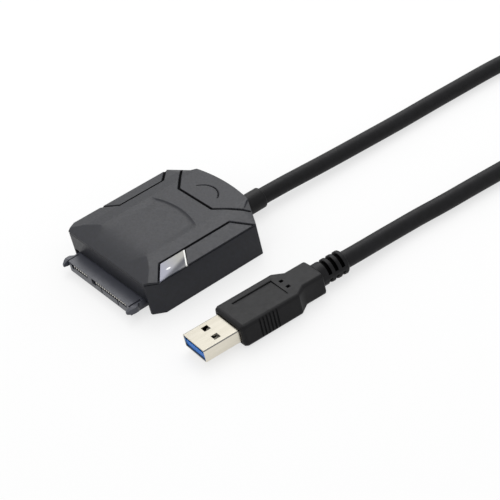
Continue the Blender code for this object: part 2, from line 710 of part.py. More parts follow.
def make_chip(material, frame):
    chip = component("bridge_chip", -BOARD_HALF * 0.1, BOARD_MIDDLE - 5.0, CHIP_SIZE, CHIP_SIZE, CHIP_HEIGHT)
    return finish(chip, material, frame)


def make_flash(material, frame):
    """Eight-legged memory package."""
    x, y = FLASH_LENGTH / 2 - POST_X, POST_FRONT + POST_SPACING * 0.6
    body = component("flash_chip", x, y, FLASH_LENGTH, FLASH_WIDTH, FLASH_HEIGHT)
    for i in range(4):
        leg_x = x + LEG_PITCH * (i - 1.5)
        reach = FLASH_WIDTH / 2 + LEG_REACH
        limits = (COMPONENT_BASE, COMPONENT_BASE + 0.25)
        join(body, box("leg", (leg_x - LEG_WIDTH / 2, leg_x + LEG_WIDTH / 2), (y - reach, y + reach), limits))
    return finish(body, material, frame)


def make_regulator(material, frame):
    """Voltage regulator with its wide tab and three legs."""
    x, y = POST_X - POST_DIAMETER / 2 - SEAT_GAP - REGULATOR_LENGTH / 2, POST_FRONT
    body = component("voltage_regulator", x, y, REGULATOR_LENGTH, REGULATOR_WIDTH, REGULATOR_HEIGHT)
    limits = (COMPONENT_BASE, COMPONENT_BASE + 0.3)
    reach = REGULATOR_WIDTH / 2 + LEG_REACH
    join(body, box("wide_tab", (x - 0.9, x + 0.9), (y, y + reach), limits))
    for i in (-1, 0, 1):
        leg_x = x + 1.5 * i
        join(body, box("leg", (leg_x - LEG_WIDTH / 2, leg_x + LEG_WIDTH / 2), (y - reach, y), limits))
    return finish(body, material, frame)


def make_inductor(material, frame):
    """Power inductor: a square ferrite block with cut corners."""
    outline = rounded_rectangle(INDUCTOR_SIZE, INDUCTOR_SIZE, 1.2, 3)
    centre_x, centre_y = POST_X - INDUCTOR_SIZE / 2, POST_FRONT + POST_SPACING * 0.45
    outline = [(x + centre_x, y + centre_y) for x, y in outline]
    inductor = prism("power_inductor", outline, COMPONENT_BASE, COMPONENT_BASE + INDUCTOR_HEIGHT)
    return finish(inductor, material, frame)


def make_crystal(material, frame):
    """Crystal in a low metal can with round corners."""
    outline = rounded_rectangle(CRYSTAL_LENGTH, CRYSTAL_WIDTH, 0.6, 3)
    centre_x, centre_y = BOARD_HALF * 0.2, BOARD_MIDDLE + 4.0
    outline = [(x + centre_x, y + centre_y) for x, y in outline]
    crystal = prism("crystal", outline, COMPONENT_BASE, COMPONENT_BASE + CRYSTAL_HEIGHT)
    return finish(crystal, material, frame)


def make_can(material, frame):
    """Bulk capacitor: a can with the crimped waist near its foot."""
    radius = CAN_DIAMETER / 2
    place = (CAN_DIAMETER / 2 - POST_X, POST_FRONT + RIB_DIAMETER / 2 + CAN_DIAMETER / 2 + SEAT_GAP)
    profile = [(0.0, 1.0), (0.18, 1.0), (0.24, 0.9), (0.3, 1.0), (0.96, 1.0), (1.0, 0.93)]
    rings = []
    for share, scale in profile:
        z = COMPONENT_BASE + share * CAN_HEIGHT
        rings.append([(x, y, z) for x, y in circle(radius * scale, 20, place)])
    return finish(loft("bulk_capacitor", rings), material, frame, smooth=True)


def make_light(material, frame):
    """Activity light at the edge of the board, under the window."""
    y = PANEL_START_Y + WINDOW_LENGTH / 2 + PANEL_RAMP / 2
    light = component("activity_light", BOARD_HALF - LED_LENGTH / 2, y, LED_LENGTH, LED_WIDTH, LED_HEIGHT)
    return finish(light, material, frame)


def make_small_capacitors(material, frame):
    """Small two-ended capacitors in front of the chip and behind it."""
    beside = CHIP_SIZE / 2 + CHIP_PART_WIDTH * 1.6
    chip_x, chip_y = -BOARD_HALF * 0.1, BOARD_MIDDLE - 5.0
    for i in range(4):
        x = chip_x + (CHIP_PART_LENGTH if i % 2 else -CHIP_PART_LENGTH)
        y = chip_y + (beside if i < 2 else -beside)
        size = (CHIP_PART_LENGTH, CHIP_PART_WIDTH, CHIP_PART_HEIGHT)
        finish(component(f"small_capacitor_{i + 1}", x, y, *size), material, frame)


def make_gland(material, frame):
    """Moulded strain relief: a plain barrel with a collar held inside the rear wall."""
    radius = GLAND_DIAMETER / 2
    inner = REAR_CHORD_Y - WALL - SEAT_GAP
    start = inner - COLLAR_THICKNESS
    rings = [
        gland_ring(radius, start),
        gland_ring(radius, GLAND_END - GLAND_ROUND),
        gland_ring(radius - GLAND_ROUND * 0.3, GLAND_END - GLAND_ROUND * 0.3),
        gland_ring(radius - GLAND_ROUND, GLAND_END),
    ]
    gland = loft("cable_gland", rings)
    low = FLOOR + SEAT_GAP
    collar_x = (GLAND_X - COLLAR_WIDTH / 2, GLAND_X + COLLAR_WIDTH / 2)
    join(gland, box("collar", collar_x, (start + 0.2, inner), (low, low + COLLAR_HEIGHT)))
    return finish(gland, material, frame, smooth=True)


def tube_rings(points, radius, count):
    """Rings of a tube along points, each square to its path."""
    rings = []
    points = [Vector(p) for p in points]
    for i, point in enumerate(points):
        along = (points[min(i + 1, len(points) - 1)] - points[max(i - 1, 0)]).normalized()
        side = along.cross(Vector((0, 0, 1))).normalized()
        up = side.cross(along)
        rings.append([point + side * x + up * y for x, y in circle(radius, count)])
    return rings


def make_wires(material, frame):
    """Insulated wires that fan out from the gland to the board."""
    radius = WIRE_DIAMETER / 2
    start_y = REAR_CHORD_Y - WALL - 2 * SEAT_GAP - COLLAR_THICKNESS
    pad_z = BOARD_TOP + STRIP_GAP + radius
    for i in range(WIRE_COUNT):
        place = i - (WIRE_COUNT - 1) / 2
        x0 = GLAND_X + place * (GLAND_DIAMETER - 1.4) / (WIRE_COUNT - 1)
        z0 = GLAND_HEIGHT + (0.7 if i % 2 else -0.7)
        x1 = GLAND_X + place * WIRE_PITCH
        points = []
        for step in range(7):
            t = step / 6
            ease = t * t * (3 - 2 * t)
            z = z0 + (pad_z - z0) * ease + 0.8 * math.sin(math.pi * t)
            points.append((x0 + (x1 - x0) * ease, start_y + (BOARD_END - 2.5 - start_y) * t, z))
        finish(loft(f"cord_wire_{i + 1}", tube_rings(points, radius, 8)), material, frame, smooth=True)


def plug_ring(y, width, height, radius):
    return [(x, y, z) for x, z in rounded_rectangle(width, height, radius)]


def make_plug_shell(material, frame):
    """Folded steel shell with two latch holes above and two below."""
    end = SHELL_LENGTH + SHELL_SEAT
    fold = 0.5
    shell = loft("plug_shell", [plug_ring(y, SHELL_WIDTH, SHELL_HEIGHT, fold) for y in (0.0, end)])
    inner = (SHELL_WIDTH - 2 * SHELL_WALL, SHELL_HEIGHT - 2 * SHELL_WALL, fold - SHELL_WALL)
    cut(shell, loft("bore", [plug_ring(y, *inner) for y in (-1.0, end + 1)]))
    hole_y = (SHELL_HOLE_FRONT, SHELL_HOLE_FRONT + SHELL_HOLE_LENGTH)
    for sign in (-1, 1):
        middle = sign * SHELL_HOLE_SPACING / 2
        hole_x = (middle - SHELL_HOLE_WIDTH / 2, middle + SHELL_HOLE_WIDTH / 2)
        cut(shell, box("latch_hole", hole_x, hole_y, (-SHELL_HEIGHT, SHELL_HEIGHT)))
    return finish(shell, material, frame)


def make_tongue(material, frame):
    """Blue insulator: a tongue in the lower half of the mouth and a block behind it."""
    side = SHELL_WIDTH / 2 - SHELL_WALL - STRIP_GAP
    low = -SHELL_HEIGHT / 2 + SHELL_WALL + STRIP_GAP
    end = SHELL_LENGTH + SHELL_SEAT - TONGUE_INSET
    block_y = end - TONGUE_BLOCK
    tongue = box("plug_tongue", (-side, side), (TONGUE_INSET, end), (low, low + TONGUE_HEIGHT))
    join(tongue, box("block", (-side, side), (block_y, end), (low, -low)))
    return finish(tongue, material, frame)


def make_pads(name, count, pitch, width, y, z, material, frame):
    """Flat contact pads in a row across the tongue."""
    for i in range(count):
        x = pitch * (i - (count - 1) / 2)
        pad = box(f"{name}_{i + 1}", (x - width / 2, x + width / 2), y, (z, z + PAD_THICKNESS))
        finish(pad, material, frame)


def ring_slot(y, sign):
    """A cutter for the upper or lower half of a strain relief ring."""
    outer, inner = NECK_DIAMETER / 2 + 1, NECK_DIAMETER / 2 - RING_DEPTH
    low = math.asin(RING_BRIDGE / 2 / (NECK_DIAMETER / 2))
    angles = [low + (math.pi - 2 * low) * i / 12 for i in range(13)]
    arc = [(outer * math.cos(a), sign * outer * math.sin(a)) for a in angles]
    arc += [(inner * math.cos(a), sign * inner * math.sin(a)) for a in angles[::-1]]
    return prism_along_y("ring", arc, y - RING_WIDTH / 2, y + RING_WIDTH / 2)


def make_overmould(material, frame):
    """The plug's grip: a rounded body, a shoulder, a collar and a ringed neck in one moulding."""
    front = SHELL_LENGTH
    neck = NECK_DIAMETER
    edge = GRIP_ROUND
    sections = [
        (front, GRIP_WIDTH - 1.6 * edge, GRIP_HEIGHT - 1.6 * edge, edge * 0.5),
        (front + edge * 0.3, GRIP_WIDTH - 0.6 * edge, GRIP_HEIGHT - 0.6 * edge, edge * 0.8),
        (front + edge, GRIP_WIDTH, GRIP_HEIGHT, edge),
        (GRIP_END, GRIP_WIDTH, GRIP_HEIGHT, edge),
        (COLLAR2_START, COLLAR2_WIDTH, COLLAR2_HEIGHT, edge),
        (NECK_START - 0.3, COLLAR2_WIDTH, COLLAR2_HEIGHT, edge),
        (NECK_START, COLLAR2_WIDTH - 0.6, COLLAR2_HEIGHT - 0.3, edge),
        (NECK_START + 0.2, neck * 0.97, neck * 0.97, neck * 0.46),
        (PLUG_LENGTH - 0.6, neck, neck, neck * 0.48),
        (PLUG_LENGTH, neck - 1.0, neck - 1.0, neck * 0.41),
    ]
    grip = loft("plug_grip", [plug_ring(*section) for section in sections])
    seat = (SHELL_WIDTH + 2 * SEAT_GAP, SHELL_HEIGHT + 2 * SEAT_GAP, 0.5)
    cut(grip, loft("shell_seat", [plug_ring(y, *seat) for y in (front - 1, front + SHELL_SEAT + SEAT_GAP)]))
    half = RECESS_WIDTH / 2
    recess_y = (front + RECESS_FRONT, front + RECESS_FRONT + RECESS_LENGTH)
    top = GRIP_HEIGHT / 2
    cut(grip, box("panel_recess", (-half, half), recess_y, (top - RECESS_DEPTH, top + 1)))
    for sign in (-1, 1):
        x = sign * PIN_HOLE_SPACING / 2
        y = recess_y[1] + 2.0
        hole = PIN_HOLE / 2
        cut(grip, box("pin_hole", (x - hole, x + hole), (y - hole, y + hole), (top - 1.2, top + 1)))
        side = sorted((sign * (GRIP_WIDTH / 2 - RIDGE_DEPTH), sign * (GRIP_WIDTH / 2 + 1)))
        for i in range(RIDGE_COUNT):
            y = front + RIDGE_FRONT + RIDGE_PITCH * i
            ridge_y = (y - RIDGE_WIDTH / 2, y + RIDGE_WIDTH / 2)
            cut(grip, box("ridge", side, ridge_y, (-RIDGE_HEIGHT / 2, RIDGE_HEIGHT / 2)))
        for i in range(RING_COUNT):
            cut(grip, ring_slot(PLUG_LENGTH - RING_END_INSET - RING_PITCH * i, sign))
    return finish(grip, material, frame, smooth=True)


def smooth_curve(points, step):
    """Points at equal distances on a natural cubic curve through a route's own points."""
    points = np.array(points, float)
    s = np.concatenate(([0.0], np.cumsum(np.linalg.norm(np.diff(points, axis=0), axis=1))))
    h = np.diff(s)
    n = len(points)
    matrix, right = np.eye(n), np.zeros((n, 3))
    for i in range(1, n - 1):
        matrix[i, i - 1 : i + 2] = h[i - 1], 2 * (h[i - 1] + h[i]), h[i]
        right[i] = 6 * ((points[i + 1] - points[i]) / h[i] - (points[i] - points[i - 1]) / h[i - 1])
    bend = np.linalg.solve(matrix, right)
    t = np.linspace(0.0, s[-1], 2000)
    i = np.clip(np.searchsorted(s, t, side="right") - 1, 0, n - 2)
    a, b = ((s[i + 1] - t) / h[i])[:, None], ((t - s[i]) / h[i])[:, None]
    curve = a * points[i] + b * points[i + 1]
    curve += ((a**3 - a) * bend[i] + (b**3 - b) * bend[i + 1]) * (h[i] ** 2)[:, None] / 6
    length = np.concatenate(([0.0], np.cumsum(np.linalg.norm(np.diff(curve, axis=0), axis=1))))
    count = max(2, round(length[-1] / step)) + 1
    even = np.linspace(0.0, length[-1], count)
    return np.stack([np.interp(even, length, curve[:, k]) for k in range(3)], axis=1)


def cord_route():
    """The cord's own points: out of the gland, down to the table, round a wide bend and back to the plug."""
    rest = CORD_DIAMETER / 2 + CORD_LIFT
    start = Vector((GLAND_X, GLAND_END + SEAT_GAP, GLAND_HEIGHT))
    turn = math.radians(PLUG_TURN)
    along = Vector((-math.sin(turn), math.cos(turn), 0.0))
    end = Vector((PLUG_X, PLUG_Y, PLUG_AXIS)) + along * (PLUG_LENGTH + SEAT_GAP)
    table = [
        (7.2, 150.0),
        (8.0, 166.0),
        (11.0, 181.0),
        (18.0, 193.5),
        (30.0, 200.5),
        (43.0, 199.0),
        (53.0, 190.0),
        (58.3, 177.0),
        (59.6, 162.0),
        (59.2, 146.0),
        (58.5, 131.0),
        (57.8, 118.0),
        (57.0, 106.0),
        (56.2, 93.0),
    ]
    fall = GLAND_HEIGHT - rest
    out = [start] + [(GLAND_X + x, GLAND_END + y, rest + fall * share) for x, y, share in LEAVING]
    rise = PLUG_AXIS - rest
    back = [(PLUG_X + x, PLUG_Y + y, rest + rise * share) for x, y, share in ARRIVING]
    back += [end + along * 7.0 - Vector((0.0, 0.0, rise * 0.1)), end]
    return [tuple(p) for p in out] + [(x, y, rest) for x, y in table] + [tuple(p) for p in back]


def make_cord(material, frame):
    """The free cord, a round tube with closed ends."""
    points = smooth_curve(cord_route(), CORD_STEP * CORD_DIAMETER)
    curve = bpy.data.curves.new("cord_tube", "CURVE")
    curve.dimensions = "3D"
    curve.bevel_depth = CORD_DIAMETER / 2 * MM
    curve.bevel_resolution = CORD_SIDES_RESOLUTION
    curve.use_fill_caps = True
    spline = curve.splines.new("POLY")
    spline.points.add(len(points) - 1)
    for spline_point, point in zip(spline.points, points):
        spline_point.co = (*(point * MM), 1.0)
    curve.materials.append(material)
    cord = bpy.data.objects.new("cord_tube", curve)
    bpy.context.collection.objects.link(cord)
    cord.parent = frame
    return cord


def new_frame(name, place, turn=0.0):
    """An empty that carries pieces, at a place in millimetres, turned about the vertical."""
    empty = bpy.data.objects.new(name, None)
    empty.location = Vector(place) * MM
    empty.rotation_euler = (0.0, 0.0, math.radians(turn))
    bpy.context.collection.objects.link(empty)
    return empty


def main():
    for obj in list(bpy.data.objects):
        bpy.data.objects.remove(obj)
    abs_plastic = new_material("black_abs", (0.03, 0.03, 0.033), 0.42)
    connector_plastic = new_material("connector_plastic", (0.05, 0.05, 0.06), 0.38)
    clear_plastic = new_material("clear_plastic", (0.9, 0.93, 0.97), 0.05, transmission=1.0)
    vinyl = new_material("black_vinyl", (0.022, 0.022, 0.024), 0.4)
    gold = new_material("gold_plate", (0.83, 0.62, 0.28), 0.25, 1.0)
    tin = new_material("tinned_steel", (0.75, 0.73, 0.68), 0.3, 1.0)
    laminate = new_material("board_laminate", (0.01, 0.09, 0.04), 0.4)
    epoxy = new_material("chip_epoxy", (0.015, 0.015, 0.016), 0.5)
    ferrite = new_material("ferrite", (0.05, 0.05, 0.05), 0.7)
    ceramic = new_material("ceramic_tan", (0.45, 0.3, 0.16), 0.5)
    white_resin = new_material("white_resin", (0.8, 0.8, 0.76), 0.4)
    blue_plastic = new_material("blue_plastic", (0.03, 0.16, 0.6), 0.35)

    housing = new_frame("housing_frame", (0.0, -MIDDLE_Y, 0.0))
    plug = new_frame("plug_frame", (PLUG_X, PLUG_Y - MIDDLE_Y, PLUG_AXIS), PLUG_TURN)

    make_cover(abs_plastic, housing)
    make_case(abs_plastic, housing)
    make_window(clear_plastic, housing)
    make_connector(connector_plastic, housing)
    signal, power = pin_places()
    make_pins("signal_pin", signal, gold, housing)
    make_pins("power_pin", power, gold, housing)
    make_tabs(tin, housing)
    make_board(laminate, housing)
    make_chip(epoxy, housing)
    make_flash(epoxy, housing)
    make_regulator(epoxy, housing)
    make_inductor(ferrite, housing)
    make_crystal(tin, housing)
    make_can(tin, housing)
    make_light(white_resin, housing)
    make_small_capacitors(ceramic, housing)
    make_gland(vinyl, housing)
    make_wires(vinyl, housing)
    make_cord(vinyl, housing)

    make_plug_shell(tin, plug)
    make_tongue(blue_plastic, plug)
    tongue_top = -SHELL_HEIGHT / 2 + SHELL_WALL + STRIP_GAP + TONGUE_HEIGHT
    block_y = SHELL_LENGTH + SHELL_SEAT - TONGUE_INSET - TONGUE_BLOCK
    pads_y = (TONGUE_INSET + 1.0, block_y - STRIP_GAP)
    pads_z = tongue_top + STRIP_GAP
    rear_y = (block_y - 2.4, block_y - STRIP_GAP)
    rear_z = pads_z + PAD_THICKNESS + STRIP_GAP
    make_pads("plug_front_pad", FRONT_PADS, FRONT_PAD_PITCH, FRONT_PAD_WIDTH, pads_y, pads_z, gold, plug)
    make_pads("plug_rear_pad", REAR_PADS, REAR_PAD_PITCH, REAR_PAD_WIDTH, rear_y, rear_z, gold, plug)
    make_overmould(vinyl, plug)


main()
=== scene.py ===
import math

import bmesh
import bpy
import numpy as np
from mathutils import Matrix, Vector


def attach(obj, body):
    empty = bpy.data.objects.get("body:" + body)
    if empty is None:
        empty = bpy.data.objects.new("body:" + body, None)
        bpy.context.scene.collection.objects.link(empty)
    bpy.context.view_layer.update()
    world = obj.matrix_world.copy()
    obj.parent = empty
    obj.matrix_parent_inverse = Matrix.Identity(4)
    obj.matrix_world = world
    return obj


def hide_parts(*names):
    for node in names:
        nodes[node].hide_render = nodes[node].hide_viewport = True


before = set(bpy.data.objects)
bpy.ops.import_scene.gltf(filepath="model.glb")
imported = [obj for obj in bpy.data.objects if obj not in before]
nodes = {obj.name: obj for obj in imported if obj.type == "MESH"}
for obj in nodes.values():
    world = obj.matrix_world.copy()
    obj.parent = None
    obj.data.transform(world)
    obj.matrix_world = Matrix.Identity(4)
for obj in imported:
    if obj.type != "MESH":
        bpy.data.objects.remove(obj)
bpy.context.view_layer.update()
mm = 0.001
print("frame loaded:", len(nodes), "solids")


viewpoint = {
    "place": (391.5, -184.1, 291.4),  # mm, in the part's frame
    "azimuth": 61.77,  # degrees from the front towards the right
    "elevation": 34.71,
    "roll": -14.37,
    "lens": 113.04,  # mm, as the sensor is
    "sensor": 36.0,
    "clip": (0.01, 20.0),  # m
}


def placeCamera(settings):
    # axes of the view from azimuth and elevation, the sideways and upward ones then turned by roll
    azimuth, elevation, roll = (math.radians(settings[k]) for k in ("azimuth", "elevation", "roll"))
    level = Vector((math.cos(azimuth), math.sin(azimuth), 0.0))
    reach = math.cos(elevation)
    back = Vector((math.sin(azimuth) * reach, -math.cos(azimuth) * reach, math.sin(elevation)))
    upright = back.cross(level)
    right = level * math.cos(roll) + upright * math.sin(roll)
    up = back.cross(right)
    data = bpy.data.cameras.new("camera")
    data.lens, data.sensor_width, data.sensor_fit = settings["lens"], settings["sensor"], "HORIZONTAL"
    data.clip_start, data.clip_end = settings["clip"]
    camera = bpy.data.objects.new("camera", data)
    turn = Matrix((right, up, back)).transposed().to_4x4()
    camera.matrix_world = Matrix.Translation(Vector(settings["place"]) * mm) @ turn
    bpy.context.collection.objects.link(camera)
    bpy.context.scene.camera = camera


placeCamera(viewpoint)
bpy.context.scene.view_settings.view_transform = "Standard"
print("camera placed")


# where the plug lies: middle of its front in mm, its turn about Z in degrees from a rear that points to +Y,
# and its length up to the end of the cord inside its neck
plugPlace = {"tip": (52.65, -28.7, 4.0), "turn": -2.4, "length": 55.5}
plugTurn = math.radians(plugPlace["turn"])
plugAlong = (-math.sin(plugTurn), math.cos(plugTurn), 0.0)

# the noise of every uneven surface: the spans of it that tint and gloss take, and how fine it is
pattern = {
    "tintRange": (0.35, 0.65), "glossRange": (0.3, 0.7),
    "tintDetail": 3.0, "fineDetail": 2.0, "grainRoughness": 0.6,
}


def linearColour(hexColour):
    # sRGB hex to linear, channel by channel
    channels = [int(hexColour[i : i + 2], 16) / 255 for i in (1, 3, 5)]
    return tuple(c / 12.92 if c <= 0.04045 else ((c + 0.055) / 1.055) ** 2.4 for c in channels) + (1.0,)


def addNode(tree, kind, settings=None, links=None):
    # one node with its properties or socket values, and the sockets that feed it
    node = tree.nodes.new(kind)
    for key, value in (settings or {}).items():
        if isinstance(key, str) and hasattr(node, key):
            setattr(node, key, value)
        else:
            node.inputs[key].default_value = value
    for key, socket in (links or {}).items():
        tree.links.new(socket, node.inputs[key])
    return node


def newMaterial(name, look):
    # a Principled surface; mottle, sheenSpread and grain: sizes in mm of its uneven colour, gloss and relief
    material = bpy.data.materials.new(name)
    material.use_nodes = True
    tree = material.node_tree
    shader = tree.nodes["Principled BSDF"]
    shader.inputs["Base Color"].default_value = linearColour(look["colour"])
    sockets = (
        ("roughness", "Roughness"), ("metallic", "Metallic"),
        ("ior", "IOR"), ("specular", "Specular IOR Level"),
    )
    for key, socket in sockets:
        if key in look:
            shader.inputs[socket].default_value = look[key]
    place = addNode(tree, "ShaderNodeTexCoord").outputs["Object"]
    if "stretch" in look:
        # drawn out into lines by a share on each axis, and turned a little off the noise's own lattice
        settings = {"Rotation": (0.0, 0.0, math.radians(look["turn"])), "Scale": look["stretch"]}
        place = addNode(tree, "ShaderNodeMapping", settings, {"Vector": place}).outputs[0]
    if "mottle" in look:
        settings = {"Scale": 1 / (look["mottle"] * mm), "Detail": pattern["tintDetail"]}
        noise = addNode(tree, "ShaderNodeTexNoise", settings, {"Vector": place}).outputs["Fac"]
        low, high = pattern["tintRange"]
        share = addNode(tree, "ShaderNodeMapRange", {1: low, 2: high}, {0: noise}).outputs[0]
        settings = {"data_type": "RGBA", 6: linearColour(look["colour"]), 7: linearColour(look["second"])}
        tint = addNode(tree, "ShaderNodeMix", settings, {0: share})
        tree.links.new(tint.outputs[2], shader.inputs["Base Color"])
    if "sheenSpread" in look:
        settings = {"Scale": 1 / (look["sheenSpread"] * mm), "Detail": pattern["fineDetail"]}
        noise = addNode(tree, "ShaderNodeTexNoise", settings, {"Vector": place}).outputs["Fac"]
        low, high = pattern["glossRange"]
        middle, swing = look["roughness"], look["uneven"]
        settings = {1: low, 2: high, 3: middle - swing, 4: middle + swing}
        gloss = addNode(tree, "ShaderNodeMapRange", settings, {0: noise})
        tree.links.new(gloss.outputs[0], shader.inputs["Roughness"])
    if "grain" in look:
        settings = {"Scale": 1 / (look["grain"] * mm), "Detail": pattern["fineDetail"]}
        settings["Roughness"] = pattern["grainRoughness"]
        noise = addNode(tree, "ShaderNodeTexNoise", settings, {"Vector": place}).outputs["Fac"]
        settings = {"Strength": look["grainStrength"], "Distance": look["grainHeight"] * mm}
        bump = addNode(tree, "ShaderNodeBump", settings, {"Height": noise})
        tree.links.new(bump.outputs["Normal"], shader.inputs["Normal"])
    return material


def smoothRange(reach, values):
    # settings of a smooth step between two distances in mm, from the first value to the second
    first, second = reach
    return {"interpolation_type": "SMOOTHSTEP", 1: first * mm, 2: second * mm, 3: values[0], 4: values[1]}


def fadeAlong(tree, start, direction, reach, values=(0.0, 1.0)):
    # smooth step of the distance from a place in mm, measured along a direction by a dot product
    place = addNode(tree, "ShaderNodeTexCoord").outputs["Object"]
    settings = {"operation": "SUBTRACT", 1: [c * mm for c in start]}
    offset = addNode(tree, "ShaderNodeVectorMath", settings, {0: place}).outputs[0]
    settings = {"operation": "DOT_PRODUCT", 1: tuple(Vector(direction).normalized())}
    distance = addNode(tree, "ShaderNodeVectorMath", settings, {0: offset}).outputs["Value"]
    return addNode(tree, "ShaderNodeMapRange", smoothRange(reach, values), {0: distance}).outputs[0]


def fadeAround(tree, middle, weights, reach, values, turn=0.0):
    # smooth step of the length of the offset from a place in mm, turned about Z and weighed on each axis
    place = addNode(tree, "ShaderNodeTexCoord").outputs["Object"]
    settings = {"vector_type": "TEXTURE", "Location": [c * mm for c in middle], "Rotation": (0.0, 0.0, turn)}
    offset = addNode(tree, "ShaderNodeMapping", settings, {"Vector": place}).outputs[0]
    settings = {"operation": "MULTIPLY", 1: weights}
    weighed = addNode(tree, "ShaderNodeVectorMath", settings, {0: offset}).outputs[0]
    distance = addNode(tree, "ShaderNodeVectorMath", {"operation": "LENGTH"}, {0: weighed}).outputs["Value"]
    return addNode(tree, "ShaderNodeMapRange", smoothRange(reach, values), {0: distance}).outputs[0]


def allShares(tree, shares):
    # the product of several shares: full only where all of them are
    product = shares[0]
    for share in shares[1:]:
        links = {0: product, 1: share}
        product = addNode(tree, "ShaderNodeMath", {"operation": "MULTIPLY"}, links).outputs[0]
    return product


# the little colour and gloss that painted shade keeps, and the width of its crisp edges in mm
shadow = {"colour": (0.001, 0.001, 0.001, 1.0), "specular": 0.02, "edge": 0.001}


def darken(material, share):
    # painted shade: colour and gloss fall to almost nothing where little light gets in
    tree = material.node_tree
    shader = tree.nodes["Principled BSDF"]
    colour = shader.inputs["Base Color"].links[0].from_socket
    tint = addNode(tree, "ShaderNodeMix", {"data_type": "RGBA", 7: shadow["colour"]}, {0: share, 6: colour})
    tree.links.new(tint.outputs[2], shader.inputs["Base Color"])
    full = shader.inputs["Specular IOR Level"].default_value
    gloss = addNode(tree, "ShaderNodeMapRange", {3: full, 4: shadow["specular"]}, {0: share})
    tree.links.new(gloss.outputs[0], shader.inputs["Specular IOR Level"])


# ABS moulded in a spark eroded tool: slightly blue black, with an even grain that scatters the light on the
# roof; the real grit is finer, and is drawn as coarse as it needs to show
mouldedAbs = newMaterial(
    "spark grained ABS",
    {
        "colour": "#0d0f17", "second": "#13151f", "mottle": 1.6,
        "roughness": 0.42, "sheenSpread": 0.7, "uneven": 0.06, "ior": 1.47, "specular": 0.46,
        "grain": 0.32, "grainHeight": 0.026, "grainStrength": 0.55,
    },
)
# painted shade: faces deep in the narrow grooves take a darker, rougher, duller ABS and read as black lines
grooveShadeAbs = newMaterial(
    "ABS with painted groove shade",
    {"colour": "#060608", "second": "#0a0a0c", "mottle": 0.8, "roughness": 0.8, "specular": 0.1},
)
# glass filled nylon: greyer and a little cloudy from the fibres near the surface, drawn coarser than they are
nylonBody = newMaterial(
    "glass filled nylon",
    {
        "colour": "#40424b", "second": "#43454e", "mottle": 0.9,
        "roughness": 0.35, "sheenSpread": 1.4, "uneven": 0.04, "ior": 1.6,
        "grain": 0.5, "grainHeight": 0.01, "grainStrength": 0.25,
    },
)
# mm: the space of painted shade in both slots of the connector, from just behind their mating face
slots = {"half": 18.75, "low": 3.08, "high": 4.42, "face": -30.98, "fade": 0.5}


def paintSlotShade(material, look):
    # painted shade between the ends, floor and ceiling of the slots, darker from the mating face inwards
    tree = material.node_tree
    sides = (
        ((-look["half"], 0, 0), (1, 0, 0), shadow["edge"]),
        ((look["half"], 0, 0), (-1, 0, 0), shadow["edge"]),
        ((0, 0, look["low"]), (0, 0, 1), shadow["edge"]),
        ((0, 0, look["high"]), (0, 0, -1), shadow["edge"]),
        ((0, look["face"], 0), (0, 1, 0), look["fade"]),
    )
    shares = [fadeAlong(tree, start, way, (0.0, reach)) for start, way, reach in sides]
    darken(material, allShares(tree, shares))


paintSlotShade(nylonBody, slots)
# PVC moulded over plug and cord: softer gloss than the housing, with a coarser grain
softVinyl = newMaterial(
    "matt black PVC",
    {
        "colour": "#08080a", "second": "#0e0e11", "mottle": 1.2,
        "roughness": 0.44, "sheenSpread": 1.8, "uneven": 0.03, "ior": 1.45, "specular": 0.27,
        "grain": 0.42, "grainHeight": 0.03, "grainStrength": 0.6,
    },
)
# mm: distances from the neck's axis over which the painted shade in the ring slots fades out, and the stretch
# of the rings behind the tip
rings = {"radii": (3.4, 3.75), "start": 45.6, "end": 55.3}


def paintRingShade(material, look):
    # painted shade in the slots between the rings of the neck, below its surface
    tree = material.node_tree
    start, end, edge = look["start"], look["end"], shadow["edge"]
    darken(material, allShares(tree, [
        fadeAround(tree, plugPlace["tip"], (1, 0, 1), look["radii"], (1.0, 0.0), plugTurn),
        fadeAlong(tree, plugPlace["tip"], plugAlong, (start, start + edge)),
        fadeAlong(tree, plugPlace["tip"], plugAlong, (end - edge, end), (1.0, 0.0)),
    ]))


paintRingShade(softVinyl, rings)
# the extruded sheath: smoother, with a faint unevenness from the die
extrudedVinyl = newMaterial(
    "extruded black PVC",
    {
        "colour": "#0b0b0d", "second": "#111114", "mottle": 2.0,
        "roughness": 0.48, "sheenSpread": 3.0, "uneven": 0.04, "ior": 1.45, "specular": 0.26,
        "grain": 0.6, "grainHeight": 0.01, "grainStrength": 0.25,
    },
)
# contacts: bright tin over bronze, pale and a little satin where the springs are wiped
wipedTin = newMaterial(
    "wiped tin contacts",
    {"colour": "#f6f5f0", "second": "#e8e3d6", "mottle": 0.5, "roughness": 0.45, "metallic": 0.35},
)
# bright nickel on folded steel strip: a warm soft mirror with rolling lines along the strip, which are drawn
# coarser than they are
nickelSteel = newMaterial(
    "nickel plated steel strip",
    {
        "colour": "#f1ebdc", "second": "#ebe5d5", "mottle": 1.5,
        "roughness": 0.3, "sheenSpread": 0.9, "uneven": 0.02, "metallic": 1.0,
        "grain": 0.5, "grainHeight": 0.002, "grainStrength": 0.1,
        "stretch": (1.0, 0.08, 1.0), "turn": 2.4,
    },
)
# painted light by facing: Z of the surface's normal, 0 on the sides and 1 on the top, and the tint there
paintedFacingTints = (
    (0.0, "#ffffff"), (0.2, "#ffffff"), (0.4, "#868892"),
    (0.75, "#868892"), (0.93, "#acacac"), (1.0, "#acacac"),
)


